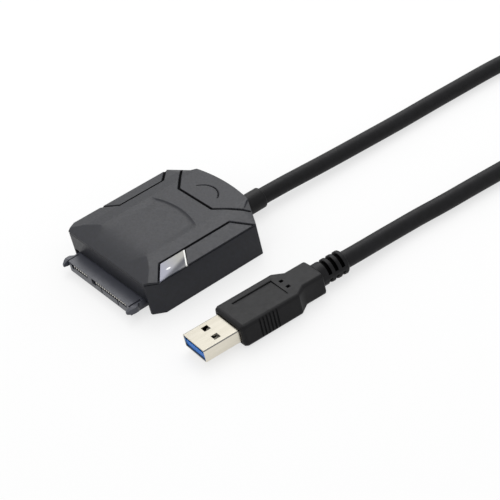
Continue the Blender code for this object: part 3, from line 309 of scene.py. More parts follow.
def paintLightByFacing(material, tints):
    # painted light: the sides are tinted lighter and the top greyer for the light each faces, and the bend
    # between them gets a painted reflection of the dark end of the room; each tint multiplies the colour
    tree = material.node_tree
    shader = tree.nodes["Principled BSDF"]
    facing = addNode(tree, "ShaderNodeTexCoord").outputs["Normal"]
    lift = addNode(tree, "ShaderNodeSeparateXYZ", {}, {0: facing}).outputs[2]
    tinted = addNode(tree, "ShaderNodeValToRGB", {}, {0: lift})
    stops = tinted.color_ramp.elements
    while len(stops) < len(tints):
        stops.new(0.5)
    for stop, (position, colour) in zip(stops, tints):
        stop.position, stop.color = position, linearColour(colour)
    settings = {"data_type": "RGBA", "blend_type": "MULTIPLY", 0: 1.0}
    colour = shader.inputs["Base Color"].links[0].from_socket
    tint = addNode(tree, "ShaderNodeMix", settings, {6: colour, 7: tinted.outputs[0]})
    tree.links.new(tint.outputs[2], shader.inputs["Base Color"])


# painted light and a painted reflection on the nickel shell
paintLightByFacing(nickelSteel, paintedFacingTints)
# hot dipped tin on small cans and tabs: a grey, slightly clouded mirror
tinPlate = newMaterial(
    "tin plate", {"colour": "#c9c6bd", "second": "#b9b6ac", "mottle": 1.0, "roughness": 0.32, "metallic": 1.0}
)
# green lacquer over copper: darker where no copper lies under it
solderMask = newMaterial(
    "solder mask", {"colour": "#12442a", "second": "#0e3a24", "mottle": 2.5, "roughness": 0.35, "ior": 1.5}
)
# epoxy moulded over the chips: a dull dark grey from its silica filler
chipEpoxy = newMaterial(
    "moulded epoxy", {"colour": "#1c1c1e", "second": "#232325", "mottle": 0.6, "roughness": 0.55, "ior": 1.55}
)
# pressed and sintered ferrite: stone grey with no gloss
ferriteBlock = newMaterial(
    "sintered ferrite", {"colour": "#3c3c3c", "second": "#303030", "mottle": 0.8, "roughness": 0.75}
)
# fired ceramic of the small capacitors: an even light brown with a faint gloss
firedCeramic = newMaterial(
    "fired ceramic", {"colour": "#b08c62", "second": "#a58258", "mottle": 0.5, "roughness": 0.5}
)
# silicone resin cast over the light: milky white and soft in gloss
whiteResin = newMaterial(
    "white silicone resin", {"colour": "#e9e8e2", "second": "#dedcd2", "mottle": 0.8, "roughness": 0.4}
)
# blue PBT of the tongue: saturated, a little glossy
bluePlastic = newMaterial(
    "blue PBT",
    {
        "colour": "#3089ee", "second": "#257de2", "mottle": 1.0,
        "roughness": 0.35, "sheenSpread": 1.0, "uneven": 0.04, "ior": 1.5, "specular": 0.3,
    },
)
# the tongue keeps its colour at its front and takes the shell's shadow behind it as painted shade: where that
# starts and where it is full, in mm behind the tip
tongueShadow = (0.62, 1.0)
darken(bluePlastic, fadeAlong(bluePlastic.node_tree, plugPlace["tip"], plugAlong, tongueShadow))


def frostedLens(name, look):
    # layers of colour over the base, each by its own share: warmer to the rear, painted shade of the hollow
    # housing to the outside, a painted highlight on the rear edge, a painted bright spot over the light
    material = newMaterial(name, look)
    tree = material.node_tree
    middle, way = look["middle"], look["darkWay"]
    dark = [
        fadeAlong(tree, middle, way, look["darkReach"]),
        fadeAlong(tree, middle, way, look["cornerReach"], (1.0, look["cornerShare"])),
    ]
    layers = {
        "rearColour": fadeAlong(tree, middle, (0, 1, 0), look["rearReach"]),
        "hollowShadeColour": allShares(tree, dark),
        "edgeHighlightColour": fadeAlong(tree, look["edge"], look["edgeWay"], look["edgeReach"]),
        "paintedSpotColour": fadeAround(tree, look["spot"], look["spotWeights"], look["spotReach"], (1.0, 0.0)),
    }
    tint = None
    for key, share in layers.items():
        settings = {"data_type": "RGBA", 6: linearColour(look["colour"]), 7: linearColour(look[key])}
        links = {0: share, 6: tint} if tint else {0: share}
        tint = addNode(tree, "ShaderNodeMix", settings, links).outputs[2]
    tree.links.new(tint, tree.nodes["Principled BSDF"].inputs["Base Color"])
    return material


# moulded polycarbonate, frosted inside and milky; the dark hollow behind it, a highlight on its rear edge and
# a bright spot over the light are painted into its colour
frostedWindow = frostedLens(
    "frosted polycarbonate",
    {
        "colour": "#8e8f9f", "rearColour": "#95948e", "hollowShadeColour": "#1b2030", "edgeHighlightColour": "#e6e6e2",
        "paintedSpotColour": "#ffffff", "roughness": 0.16, "ior": 1.58, "specular": 0.3,
        "middle": (24.3, -13.7, 12.6),  # mm, where the tones meet; the reaches are mm from there
        "rearReach": (-5.0, 4.0),
        "darkWay": (0.95, 0.32, 0.0), "darkReach": (-1.2, 0.5), "cornerReach": (0.9, 2.6), "cornerShare": 0.6,
        "edge": (26.1, -10.8, 12.0), "edgeWay": (0.5625, 1.0, 0.0), "edgeReach": (-0.54, -0.44),
        "spot": (23.3, -16.1, 12.6), "spotWeights": (2.2, 0.8, 0.0), "spotReach": (0.35, 0.95),
    },
)
print("materials made")


def finishPiece(piece, material, *replaced):
    # one material, a body to ride on, and the solids that the piece stands for
    piece.data.materials.clear()
    piece.data.materials.append(material)
    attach(piece, "root")
    if replaced:
        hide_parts(*replaced)
    return piece


def meshPiece(name, points, faces):
    # a smooth shaded object from points in mm
    mesh = bpy.data.meshes.new(name)
    mesh.from_pydata((points * mm).tolist(), [], faces)
    mesh.update()
    mesh.shade_smooth()
    piece = bpy.data.objects.new(name, mesh)
    bpy.context.collection.objects.link(piece)
    return piece


def gridFaces(rows, columns, closed=False):
    # quads of a grid of points, row after row; a closed grid joins its last column to its first
    index = np.arange(rows * columns).reshape(rows, columns)
    if closed:
        index = np.hstack((index, index[:, :1]))
    corners = (index[:-1, :-1], index[:-1, 1:], index[1:, 1:], index[1:, :-1])
    return np.stack(corners, axis=-1).reshape(-1, 4)


rounding = {
    "merge": 0.002,  # mm between corners that are one
    "flat": 1.0,  # degrees between triangles of one face
    "fold": 28.0,  # degrees at an edge that is rounded
    "segments": 2,
    "crisp": 2.5,  # degrees at an edge that is shaded sharp, where no crease is given
    "flatWeight": 100,  # of large faces, where one is given
}


def mergedCopy(name, source):
    # the solid's own shape, its loose triangles merged into whole faces
    mesh = source.data.copy()
    mesh.name = name
    bm = bmesh.new()
    bm.from_mesh(mesh)
    bmesh.ops.remove_doubles(bm, verts=bm.verts, dist=rounding["merge"] * mm)
    bmesh.ops.dissolve_limit(bm, angle_limit=math.radians(rounding["flat"]), verts=bm.verts, edges=bm.edges)
    return mesh, bm


def roundedCopy(name, source, radius, material, fold=rounding["fold"], crease=None, keep=None, sharp=None):
    # the solid's shape with its edges rounded to a radius in mm, except where sharp says no; keep picks its
    # faces; folds below a crease in degrees are shaded smooth, with normals weighed towards large faces
    mesh, bm = mergedCopy(name, source)
    if keep:
        bmesh.ops.delete(bm, geom=[f for f in bm.faces if not keep(f)], context="FACES")
    weight = bm.edges.layers.float.new("bevel_weight_edge")
    for edge in bm.edges:
        if len(edge.link_faces) == 2 and edge.calc_face_angle(0.0) > math.radians(fold):
            middle = (edge.verts[0].co + edge.verts[1].co) / 2 / mm
            edge[weight] = 0.0 if sharp and sharp(middle) else 1.0
    bm.to_mesh(mesh)
    bm.free()
    piece = bpy.data.objects.new(name, mesh)
    bpy.context.collection.objects.link(piece)
    bevel = piece.modifiers.new("rounded edges", "BEVEL")
    bevel.width, bevel.segments = radius * mm, rounding["segments"]
    bevel.limit_method = "WEIGHT"
    bevel.use_clamp_overlap = False
    bevel.harden_normals = crease is None
    if crease is not None:
        weighted = piece.modifiers.new("large faces stay flat", "WEIGHTED_NORMAL")
        weighted.weight, weighted.keep_sharp = rounding["flatWeight"], True
    mesh.shade_smooth()
    mesh.set_sharp_from_angle(angle=math.radians(rounding["crisp"] if crease is None else crease))
    return finishPiece(piece, material, source.name)


cordLook = {
    "diameter": 5.8,
    "glandEnd": (4.7, 31.8, 4.2),  # mm, in the part's frame
    "rest": 3.0,  # height of its middle on the table
    # where the stiff cord comes down: places, and the share of its fall still left
    "leaving": (
        (5.1, 43.6, 0.95), (5.65, 54.1, 0.8), (6.05, 67.1, 0.55),
        (6.3, 80.1, 0.3), (6.55, 94.1, 0.08), (6.7, 108.1, 0.0),
    ),
    "onTable": (
        (7.2, 124.1), (8.0, 140.1), (11.0, 155.1), (18.0, 167.6), (30.0, 174.3), (43.0, 173.1), (53.0, 164.1),
        (58.3, 151.1), (59.57, 136.1), (59.2, 120.1), (58.5, 105.1), (57.8, 92.1), (57.0, 80.1), (56.2, 67.1),
    ),
    # where it rises to the plug: places, and the share of its rise
    "arriving": ((55.45, 58.9, 0.0), (55.1, 50.9, 0.1), (55.05, 42.9, 0.4)),
    "straight": 7.0,  # mm from its end in the neck straight back to the point before
    "straightFall": 0.1,  # share of the rise that is lost there
    "spacing": 1.5,  # mm between the curve's points
    "samples": 4000,  # of the smooth curve, before it is spaced evenly
    "roundness": 8,  # steps of its round section, as the curve's bevel counts them
}


def naturalCurve(points, step, samples):
    # natural cubic through the points, sampled at even distances: its bends solve one tridiagonal system
    points = np.array(points, float)
    s = np.concatenate(([0.0], np.cumsum(np.linalg.norm(np.diff(points, axis=0), axis=1))))
    h = np.diff(s)
    n = len(points)
    matrix = np.eye(n)
    inner = np.arange(1, n - 1)
    matrix[inner, inner - 1], matrix[inner, inner + 1] = h[:-1], h[1:]
    matrix[inner, inner] = 2 * (h[:-1] + h[1:])
    slope = np.diff(points, axis=0) / h[:, None]
    right = np.zeros_like(points)
    right[1:-1] = 6 * np.diff(slope, axis=0)
    bend = np.linalg.solve(matrix, right)
    t = np.linspace(0.0, s[-1], samples)
    i = np.clip(np.searchsorted(s, t, side="right") - 1, 0, n - 2)
    a, b = ((s[i + 1] - t) / h[i])[:, None], ((t - s[i]) / h[i])[:, None]
    curve = a * points[i] + b * points[i + 1]
    curve += ((a**3 - a) * bend[i] + (b**3 - b) * bend[i + 1]) * (h[i] ** 2)[:, None] / 6
    length = np.concatenate(([0.0], np.cumsum(np.linalg.norm(np.diff(curve, axis=0), axis=1))))
    even = np.linspace(0.0, length[-1], max(2, round(length[-1] / step)) + 1)
    return np.stack([np.interp(even, length, curve[:, k]) for k in range(3)], axis=1), length[-1]


def cordRoute(look):
    # from the gland down to the table, along it, and up into the plug's neck
    start = Vector(look["glandEnd"])
    along = Vector(plugAlong)
    end = Vector(plugPlace["tip"]) + along * plugPlace["length"]
    rest = look["rest"]
    fall, rise = start.z - rest, end.z - rest
    points = [tuple(start)] + [(x, y, rest + fall * share) for x, y, share in look["leaving"]]
    points += [(x, y, rest) for x, y in look["onTable"]]
    points += [(x, y, rest + rise * share) for x, y, share in look["arriving"]]
    beforeEnd = end + along * look["straight"] - Vector((0.0, 0.0, rise * look["straightFall"]))
    return points + [tuple(beforeEnd), tuple(end)]


# the sheath: a circle carried along the curve
cordPoints, cordLength = naturalCurve(cordRoute(cordLook), cordLook["spacing"], cordLook["samples"])
curve = bpy.data.curves.new("cord", "CURVE")
curve.dimensions = "3D"
curve.bevel_depth = cordLook["diameter"] / 2 * mm
curve.bevel_resolution = cordLook["roundness"]
curve.use_fill_caps = True
spline = curve.splines.new("POLY")
spline.points.add(len(cordPoints) - 1)
spline.points.foreach_set("co", np.hstack((cordPoints * mm, np.ones((len(cordPoints), 1)))).ravel())
spline.use_smooth = True
cord = bpy.data.objects.new("cord", curve)
bpy.context.collection.objects.link(cord)
finishPiece(cord, extrudedVinyl, "cord_tube")


# in mm, apart from one angle in degrees, the shares and the counts; the roof is worked out with its front face
# at y = 0, and shift takes it to its place
roof = {
    "half": 26.1, "length": 49.3, "height": 14.0, "shift": -25.9,
    "frontHalf": 23.3, "frontChamfer": 3.8, "rearHalf": 14.8, "rearChamfer": 5.5, "rearBulge": 1.4,
    # widths of the facets, and how far each one falls
    "panel": 6.4, "panelDrop": 1.3, "band": 5.4, "bandDrop": 0.7,
    "frontSlope": 8.0, "frontDrop": 1.9, "cornerDrop": 0.7,
    # heights over which neighbouring facets flow into each other; the front one grows towards the middle
    "bandCrown": 0.02, "topCrown": 0.036, "cornerCrown": 0.05,
    "frontCrown": 0.06, "middleCrown": 1.3, "middleRun": 5.0,
    # the sunken pad, whose depth dies out beside its rear arc and its sides
    "padEnd": 30.4, "padBulge": 2.8, "padDepth": 0.45, "padRamp": 0.55, "padFade": 4.0,
    # grooves round the side panels and the crest; soft is the width of their walls
    "grooveWidth": 0.62, "leftGrooveWidth": 0.84, "rearGrooveWidth": 0.74,
    "grooveDepth": 0.95, "grooveSoft": 0.1,
    "panelRamp": 4.9, "panelRearInset": 0.8,
    "rearFront": 36.8, "rearWidth": 19.4, "rearRamp": 6.6, "rearSpread": 8.5,
    "pathOver": 1.0,  # how far a side groove's middle line runs out past the rim
    "rearOver": 1.2,  # length of the crest's groove as a share of its way to the corner facet
    "arcRadius": 7.8, "arcHalfAngle": 51.0, "arcRise": 0.1, "arcWidth": 0.35, "arcDepth": 0.3,
    "windowLength": 11.0, "windowSlant": 3.6, "windowGap": 0.3,
    "seam": 11.6, "rimLeft": 0.05,  # underside of the cover's rim, and what a groove leaves above it
    "edge": 0.2,  # rounding of the rim
    "step": 0.17, "rimStep": 0.2,  # grid spacing
    "snap": 0.6,  # share of the spacing within which points are drawn onto an edge
    "rearArcPoints": 33, "padArcPoints": 41, "crestArcPoints": 25, "edgeRows": 5,
    # painted shade in the grooves starts at this share of a groove's depth
    "shadeFrom": 0.25,  # share of a groove's depth
    # how far under the roof's form, and how near its outline, lie the faces that the skin and rim stand for
    "reach": 0.1, "close": 0.02,
}
panelX = roof["half"] - roof["panel"]
creaseX = panelX - roof["band"]
rearChordY = roof["length"] - roof["rearBulge"]
rearCornerY = rearChordY - roof["rearChamfer"]
panelStartY = roof["frontChamfer"] + roof["grooveWidth"] / 2
panelEndY = rearCornerY - roof["panelRearInset"]


def smoothMax(a, b, reach):
    # the larger of two heights, with their crease rounded where they differ by less than reach
    near = np.clip(1 - np.abs(a - b) / reach, 0, 1)
    return np.maximum(a, b) + near**2 * reach / 4


def smoothStep(value):
    # three squares less two cubes of the value, held between 0 and 1
    value = np.clip(value, 0, 1)
    return value * value * (3 - 2 * value)


def arcPoints(halfChord, chordY, bulge, count):
    # circle through both ends of a chord, bulging to the rear, from right to left
    radius = (halfChord**2 + bulge**2) / (2 * bulge)
    angle = math.asin(halfChord / radius) * np.linspace(1, -1, count)
    return np.stack((radius * np.sin(angle), chordY + bulge - radius * (1 - np.cos(angle))), axis=1)


def planOutline(look, inset):
    # plan of the housing drawn in by an inset: chamfered front corners, slanting rear corners, rear arc
    slant, run = look["half"] - look["frontHalf"], look["half"] - look["rearHalf"]
    frontSpan, rearSpan = math.hypot(slant, look["frontChamfer"]), math.hypot(run, look["rearChamfer"])
    front = look["frontHalf"] - inset * (frontSpan - slant) / look["frontChamfer"]
    frontY = look["frontChamfer"] + inset * (frontSpan - look["frontChamfer"]) / slant
    rearY = rearCornerY - inset * (rearSpan - look["rearChamfer"]) / run
    chord = look["rearHalf"] - inset * (rearSpan - run) / look["rearChamfer"]
    side = look["half"] - inset
    arc = arcPoints(chord, rearChordY - inset, look["rearBulge"], look["rearArcPoints"])
    start = [(-front, inset), (front, inset), (side, frontY), (side, rearY)]
    return np.vstack((start, arc, [(-side, rearY), (-side, frontY)]))


def nearestOnPath(points, path):
    # distance from each point to a line of segments, and its closest point there
    best = np.full(len(points), np.inf)
    place = np.zeros_like(points)
    for a, b in zip(path[:-1], path[1:]):
        share = np.clip(((points - a) @ (b - a)) / ((b - a) @ (b - a)), 0, 1)
        foot = a + share[:, None] * (b - a)
        distance = np.linalg.norm(points - foot, axis=1)
        closer = distance < best
        best[closer], place[closer] = distance[closer], foot[closer]
    return best, place


def insidePlan(points, outline):
    # even-odd count of the outline's edges that a ray along +X crosses
    inside = np.zeros(len(points), bool)
    for a, b in zip(outline, np.roll(outline, -1, axis=0)):
        spans = (a[1] > points[:, 1]) != (b[1] > points[:, 1])
        with np.errstate(divide="ignore", invalid="ignore"):
            crossing = a[0] + (points[:, 1] - a[1]) * (b[0] - a[0]) / (b[1] - a[1])
        inside ^= spans & (points[:, 0] < crossing)
    return inside


def groovePaths(look):
    # middle lines of the grooves with their width and depth
    over, panel = look["pathOver"], look["panel"]
    outside = look["half"] + over
    ramp, slant = look["panelRamp"] * over / panel, look["windowSlant"] * over / panel
    right = np.array([
        (outside, panelStartY - ramp), (panelX, panelStartY + look["panelRamp"]),
        (panelX, panelEndY - look["panelRamp"]), (outside, panelEndY + ramp),
    ])
    left = right * (-1, 1)
    windowEnd = panelStartY + look["windowLength"]
    left[0] = (-outside, windowEnd - slant)
    left[1] = (-panelX, windowEnd + look["windowSlant"])
    corner = np.array((look["rearWidth"] / 2, look["rearFront"]))
    far = corner + np.array((look["rearSpread"], look["rearRamp"])) * look["rearOver"]
    rear = np.array([far, corner, corner * (-1, 1), far * (-1, 1)])
    angle = np.radians(look["arcHalfAngle"]) * np.linspace(1, -1, look["crestArcPoints"])
    arcMiddle = (0, look["rearFront"] + look["arcRise"])
    arc = np.stack((np.sin(angle), np.cos(angle)), axis=1) * look["arcRadius"] + arcMiddle
    return (
        (right, look["grooveWidth"], look["grooveDepth"]),
        (left, look["leftGrooveWidth"], look["grooveDepth"]),
        (rear, look["rearGrooveWidth"], look["grooveDepth"]),
        (arc, look["arcWidth"], look["arcDepth"]),
    )


def windowPlan(look, gap):
    # the window's place in the right panel, widened by a gap, with both ends slanting out past the side
    ramp, slant = look["panelRamp"] / look["panel"], look["windowSlant"] / look["panel"]
    inner = panelX + look["grooveWidth"] / 2 - gap
    outer = look["half"] + look["pathOver"]
    front = panelStartY + look["grooveWidth"] / 2 - gap * math.hypot(1, ramp)
    rear = panelStartY + look["windowLength"] + gap * math.hypot(1, slant)
    reach, over = look["half"] - inner, look["pathOver"]
    return np.array([
        (inner, front + ramp * reach), (outer, front - ramp * over),
        (outer, rear - slant * over), (inner, rear + slant * reach),
    ])


def sideFall(look, x):
    # how far the roof has fallen at a distance from its middle: along the band, then along the panel
    band = look["bandDrop"] * np.clip((x - creaseX) / look["band"], 0, 1)
    return band + look["panelDrop"] * max(x - panelX, 0) / look["panel"]


def facetHeight(look, x, y):
    # flat middle, bands and panels falling to the sides, a slope to the front, and the rear corner facets
    away = np.abs(x)
    band = (away - creaseX) * look["bandDrop"] / look["band"]
    panel = look["bandDrop"] + (away - panelX) * look["panelDrop"] / look["panel"]
    front = look["frontDrop"] * (1 - y / look["frontSlope"])
    drop = smoothMax(smoothMax(band, panel, look["bandCrown"]), 0.0, look["topCrown"])
    frontCrown = look["frontCrown"] + look["middleCrown"] * smoothStep((creaseX - away) / look["middleRun"])
    drop = smoothMax(drop, front, frontCrown)
    # a corner facet is the plane through three known places, behind the line from the first to the last
    inner = (look["rearWidth"] / 2 + look["rearSpread"], look["rearFront"] + look["rearRamp"])
    spots = (inner, (look["half"], rearCornerY), (look["rearHalf"], rearChordY))
    falls = [sideFall(look, spot[0]) for spot in spots]
    falls[2] += look["cornerDrop"]
    plane = np.linalg.solve(np.array([(s[0], s[1], 1.0) for s in spots]), falls)
    facet = plane[0] * away + plane[1] * y + plane[2]
    edge = np.subtract(spots[2], spots[0])
    beside = (away - inner[0]) * edge[1] - (y - inner[1]) * edge[0]
    facet = np.where(beside > 0, facet, -1.0)
    return look["height"] - smoothMax(drop, facet, look["cornerCrown"])


def grooveCut(look, points):
    # depth of the grooves: full inside their width, with steep sides
    cut = np.zeros(len(points))
    for path, width, depth in groovePaths(look):
        distance, _ = nearestOnPath(points, path)
        cut = np.maximum(cut, depth * smoothStep(0.5 + (width / 2 - distance) / look["grooveSoft"]))
    return cut


def roofHeight(look, x, y):
    # facets, less a pad that deepens to the rear and ends in a soft arc, less the grooves
    height = facetHeight(look, x, y)
    points = np.stack((x, y), axis=1)
    padArc = arcPoints(creaseX, look["padEnd"] - look["padBulge"], look["padBulge"], look["padArcPoints"])
    distance, _ = nearestOnPath(points, padArc)
    arcY = np.interp(x, padArc[::-1, 0], padArc[::-1, 1])
    within = (y < arcY) & (np.abs(x) < creaseX) & (y > look["frontSlope"])
    deep = look["padDepth"] * (y - look["frontSlope"]) / (look["padEnd"] - look["frontSlope"])
    fade = smoothStep((creaseX - np.abs(x)) / look["padFade"])
    height -= np.where(within, deep * (1 - np.exp(-distance / look["padRamp"])) * fade, 0.0)
    return np.maximum(height - grooveCut(look, points), look["seam"] + look["rimLeft"])


def roofSkin(look):
    # a grid over the plan: each height from roofHeight, points beside the rim or the window drawn onto them
    across = np.arange(-look["half"], look["half"] + look["step"], look["step"])
    along = np.arange(0.0, look["length"] + look["step"], look["step"])
    x, y = (c.ravel() for c in np.meshgrid(across, along))
    points = np.stack((x, y), axis=1)
    rim = planOutline(look, look["edge"])
    closedRim = np.vstack((rim, rim[:1]))
    pocket = windowPlan(look, look["windowGap"])
    for path in (pocket[[1, 0, 3, 2]], closedRim):
        distance, foot = nearestOnPath(points, path)
        close = distance < look["step"] * look["snap"]
        points[close] = foot[close]
    faces = gridFaces(len(along), len(across))
    middle = points[faces].mean(axis=1)
    faces = faces[insidePlan(middle, rim) & ~insidePlan(middle, pocket)]
    used, faces = np.unique(faces, return_inverse=True)
    points = points[used]
    height = roofHeight(look, points[:, 0], points[:, 1])
    skin = np.column_stack((points[:, 0], points[:, 1] + look["shift"], height))
    return skin, faces.reshape(-1, 4)


def roofRim(look):
    # a quarter round carried along the outline, then straight down to the seam
    both = np.hstack((planOutline(look, look["edge"]), planOutline(look, 0.0)))
    rows = []
    for start, end in zip(both, np.roll(both, -1, axis=0)):
        count = max(2, int(np.linalg.norm(end[:2] - start[:2]) / look["rimStep"]))
        rows.append(start + np.linspace(0, 1, count, endpoint=False)[:, None] * (end - start))
    near, far = np.hsplit(np.vstack(rows), 2)
    top = roofHeight(look, near[:, 0], near[:, 1])
    profile = []
    for angle in np.linspace(0, math.pi / 2, look["edgeRows"]):
        place = near + (far - near) * math.sin(angle)
        drop = np.minimum(look["edge"], top - look["seam"]) * (1 - math.cos(angle))
        profile.append(np.column_stack((place, top - drop)))
    profile.append(np.column_stack((far, np.full(len(far), look["seam"]))))
    points = np.vstack(profile)
    faces = gridFaces(len(profile), len(near), closed=True)
    middle = points[faces].mean(axis=1)
    faces = faces[~insidePlan(middle[:, :2], windowPlan(look, look["windowGap"]))]
    points[:, 1] += look["shift"]
    return points, faces


def keepUnderRoof(look):
    # the solid's faces that the skin and rim don't stand for
    outline = planOutline(look, 0.0)
    closed = np.vstack((outline, outline[:1]))
    lowest = look["grooveDepth"] + look["reach"]

    def keep(face):
        corners = np.array([v.co for v in face.verts]) / mm - (0, look["shift"], 0)
        aboveSeam = corners[:, 2].mean() - look["seam"]
        depth = facetHeight(look, corners[:, 0], corners[:, 1]) - corners[:, 2]
        fromRim = nearestOnPath(corners[:, :2], closed)[0]
        isRoof = depth.max() < lowest and aboveSeam > look["rimLeft"]
        isRim = fromRim.max() < look["close"] and aboveSeam > look["close"] / 2
        return not (isRim or isRoof)

    return keep


skinPoints, skinFaces = roofSkin(roof)
rimPoints, rimFaces = roofRim(roof)
roofFaces = np.vstack((skinFaces, rimFaces + len(skinPoints)))
roofPiece = meshPiece("roof", np.vstack((skinPoints, rimPoints)), roofFaces.tolist())
finishPiece(roofPiece, mouldedAbs, "top_cover")
roofPiece.data.materials.append(grooveShadeAbs)
# painted shade: faces cut deep into a groove take the darker groove ABS
faceMiddles = skinPoints[skinFaces].mean(axis=1)[:, :2] - (0, roof["shift"])
inGrooveShade = grooveCut(roof, faceMiddles) > roof["grooveDepth"] * roof["shadeFrom"]
slotOfFace = np.concatenate((inGrooveShade, np.zeros(len(rimFaces)))).astype(np.int32)
roofPiece.data.polygons.foreach_set("material_index", slotOfFace)
print("roof shaped:", len(roofFaces), "faces")


# how far each piece's edges are rounded in mm, and the largest fold in degrees that the round gland hides
housing = {"cover": 0.12, "case": 0.25, "connector": 0.08, "window": 0.08, "gland": 0.15, "glandCrease": 35.0}
roundedCopy("coverUnderside", nodes["top_cover"], housing["cover"], mouldedAbs, keep=keepUnderRoof(roof))
roundedCopy("case", nodes["bottom_case"], housing["case"], mouldedAbs)
roundedCopy("connectorMoulding", nodes["drive_connector"], housing["connector"], nylonBody)
roundedCopy("window", nodes["led_window"], housing["window"], frostedWindow)
roundedCopy("gland", nodes["cable_gland"], housing["gland"], softVinyl, crease=housing["glandCrease"])
print("housing dressed")


plugLook = {
    "grip": {"edge": 0.12, "fold": 40.0, "crease": 25.0},  # mm, then degrees
    "shell": {"edge": 0.06, "fold": 60.0, "crease": 30.0},
    "tongue": {"edge": 0.1},
    "recess": {
        "width": 9.6, "length": 14.8, "front": 17.7, "floor": 7.5, "top": 8.0,
        "depths": ((0.38, 0.01), (0.42, 0.26)),  # front left and right, rear left and right
        "level": 0.02, "below": 0.1, "around": 0.05,  # what still counts as the floor, and as the recess
    },
}


def recessPlace(points, look):
    # positions in the recess as shares of its width and length, from offsets turned into the plug's own axes
    x, y = points[..., 0] - plugPlace["tip"][0], points[..., 1] - plugPlace["tip"][1]
    u = (x * math.cos(plugTurn) + y * math.sin(plugTurn)) / look["width"] + 0.5
    v = (y * math.cos(plugTurn) - x * math.sin(plugTurn) - look["front"]) / look["length"]
    return u, v


def inRecess(points, look):
    # above a little below its floor, and within its plan widened by a share
    u, v = recessPlace(points, look)
    within = (np.abs(u - 0.5) < 0.5 + look["around"]) & (np.abs(v - 0.5) < 0.5 + look["around"])
    return within & (points[..., 2] > look["floor"] - look["below"])


def atRecess(point):
    # the middle of one edge, whose rounding is left out there
    return inRecess(np.array(point), plugLook["recess"])


def tiltRecess(piece, look):
    # the floor's depth is bilinear between its corners, down to nothing where it meets the surface
    vertices = piece.data.vertices
    points = np.zeros(len(vertices) * 3, np.float32)
    vertices.foreach_get("co", points)
    points = points.reshape(-1, 3)
    places = points / mm
    floor = inRecess(places, look) & (np.abs(places[:, 2] - look["floor"]) < look["level"])
    u, v = (np.clip(share, 0, 1) for share in recessPlace(places, look))
    (frontLeft, frontRight), (rearLeft, rearRight) = look["depths"]
    front, rear = frontLeft + (frontRight - frontLeft) * u, rearLeft + (rearRight - rearLeft) * u
    points[:, 2] = np.where(floor, (look["top"] - front - (rear - front) * v) * mm, points[:, 2])
    vertices.foreach_set("co", points.ravel())
    piece.data.update()


grip, shell, tongue = (plugLook[k] for k in ("grip", "shell", "tongue"))
folds = [{"fold": part["fold"], "crease": part["crease"]} for part in (grip, shell)]
plugPieces = [
    roundedCopy("plugGrip", nodes["plug_grip"], grip["edge"], softVinyl, sharp=atRecess, **folds[0]),
    roundedCopy("plugShell", nodes["plug_shell"], shell["edge"], nickelSteel, **folds[1]),
    roundedCopy("plugTongue", nodes["plug_tongue"], tongue["edge"], bluePlastic),
]
tiltRecess(plugPieces[0], plugLook["recess"])
print("plug dressed")


# solids that keep their own shape, by the start of their names
smallPieces = {
    "main_board": solderMask,
    "bridge_chip": chipEpoxy,
    "flash_chip": chipEpoxy,
    "voltage_regulator": chipEpoxy,
    "power_inductor": ferriteBlock,
    "crystal": tinPlate,
    "bulk_capacitor": tinPlate,
    "connector_tab": tinPlate,
    "activity_light": whiteResin,
    "small_capacitor": firedCeramic,
    "cord_wire": extrudedVinyl,
    "signal_pin": wipedTin,
    "power_pin": wipedTin,
    "plug_front_pad": wipedTin,
    "plug_rear_pad": wipedTin,
}
for nodeName, node in nodes.items():
    for start, material in smallPieces.items():
        if nodeName.startswith(start):
            node.data.materials.clear()
            node.data.materials.append(material)
print("small pieces dressed")

print("cord laid, mm:", round(cordLength, 1))


studio = {
    "floorSize": 4.0,  # m
    "floorDrop": 0.0002,  # m below the part
    "floorColour": "#929292",
    "floorRoughness": 0.9,
    "glow": 0.67,  # of the paper as the camera sees it, and the share of it that a gloss mirrors
    "glossyShare": 0.78,
    "worldStrength": 0.85,
    # name, place and target in m, side in m, power in W
    "softboxes": (
        ("overhead softbox", (-0.15, 0.25, 0.7), (0.02, 0.05, 0.0), 0.6, 1.1),
        ("rear softbox", (-0.6, 0.46, 0.84), (0.0, 0.0, 0.0), 0.7, 2.9),
    ),
}


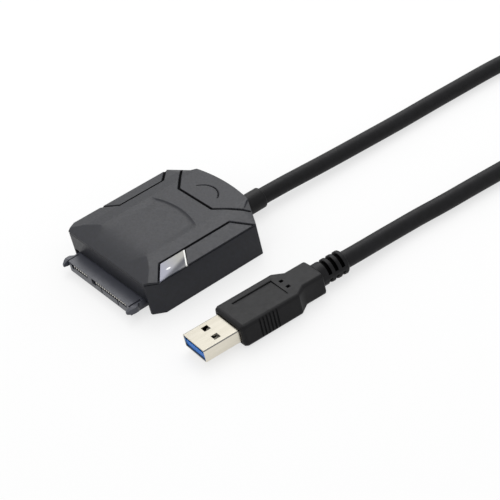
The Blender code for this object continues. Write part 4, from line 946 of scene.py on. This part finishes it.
def buildFloor(look):
    # paper that shows as white: grey by itself, with a glow for the camera and a lesser one in mirrors
    size = look["floorSize"] / 2
    corners = [(-size, -size, 0), (size, -size, 0), (size, size, 0), (-size, size, 0)]
    mesh = bpy.data.meshes.new("floor")
    mesh.from_pydata(corners, [], [(0, 1, 2, 3)])
    floor = bpy.data.objects.new("floor", mesh)
    floor.location.z = -look["floorDrop"]
    bpy.context.collection.objects.link(floor)
    material = bpy.data.materials.new("white paper")
    material.use_nodes = True
    tree = material.node_tree
    shader = tree.nodes["Principled BSDF"]
    shader.inputs["Base Color"].default_value = linearColour(look["floorColour"])
    shader.inputs["Roughness"].default_value = look["floorRoughness"]
    shader.inputs["Specular IOR Level"].default_value = 0.0
    rays = addNode(tree, "ShaderNodeLightPath").outputs
    links = {0: rays["Is Camera Ray"], 1: rays["Is Transmission Ray"]}
    straight = addNode(tree, "ShaderNodeMath", {"operation": "MAXIMUM"}, links)
    settings = {"operation": "MULTIPLY", 1: look["glossyShare"]}
    mirrored = addNode(tree, "ShaderNodeMath", settings, {0: rays["Is Glossy Ray"]})
    links = {0: straight.outputs[0], 1: mirrored.outputs[0]}
    seen = addNode(tree, "ShaderNodeMath", {"operation": "MAXIMUM"}, links)
    glow = addNode(tree, "ShaderNodeMath", {"operation": "MULTIPLY", 1: look["glow"]}, {0: seen.outputs[0]})
    shader.inputs["Emission Color"].default_value = (1, 1, 1, 1)
    tree.links.new(glow.outputs[0], shader.inputs["Emission Strength"])
    mesh.materials.append(material)


def buildWorld(look):
    # pure white to the camera, a little dimmer as a light
    world = bpy.data.worlds.new("studio")
    world.use_nodes = True
    bpy.context.scene.world = world
    tree = world.node_tree
    tree.nodes.clear()
    seen = addNode(tree, "ShaderNodeLightPath").outputs["Is Camera Ray"]
    settings = {"data_type": "FLOAT", 2: look["worldStrength"], 3: 1.0}
    strength = addNode(tree, "ShaderNodeMix", settings, {0: seen}).outputs[0]
    background = addNode(tree, "ShaderNodeBackground", {"Color": (1, 1, 1, 1)}, {"Strength": strength})
    output = addNode(tree, "ShaderNodeOutputWorld")
    tree.links.new(background.outputs[0], output.inputs["Surface"])


def addSoftbox(name, place, target, size, power):
    # a square area light turned towards its target
    data = bpy.data.lights.new(name, "AREA")
    data.shape, data.size, data.energy = "SQUARE", size, power
    lamp = bpy.data.objects.new(name, data)
    lamp.location = place
    lamp.rotation_euler = (Vector(target) - Vector(place)).to_track_quat("-Z", "Y").to_euler()
    bpy.context.collection.objects.link(lamp)


buildFloor(studio)
buildWorld(studio)
for softbox in studio["softboxes"]:
    addSoftbox(*softbox)
print("studio lit")
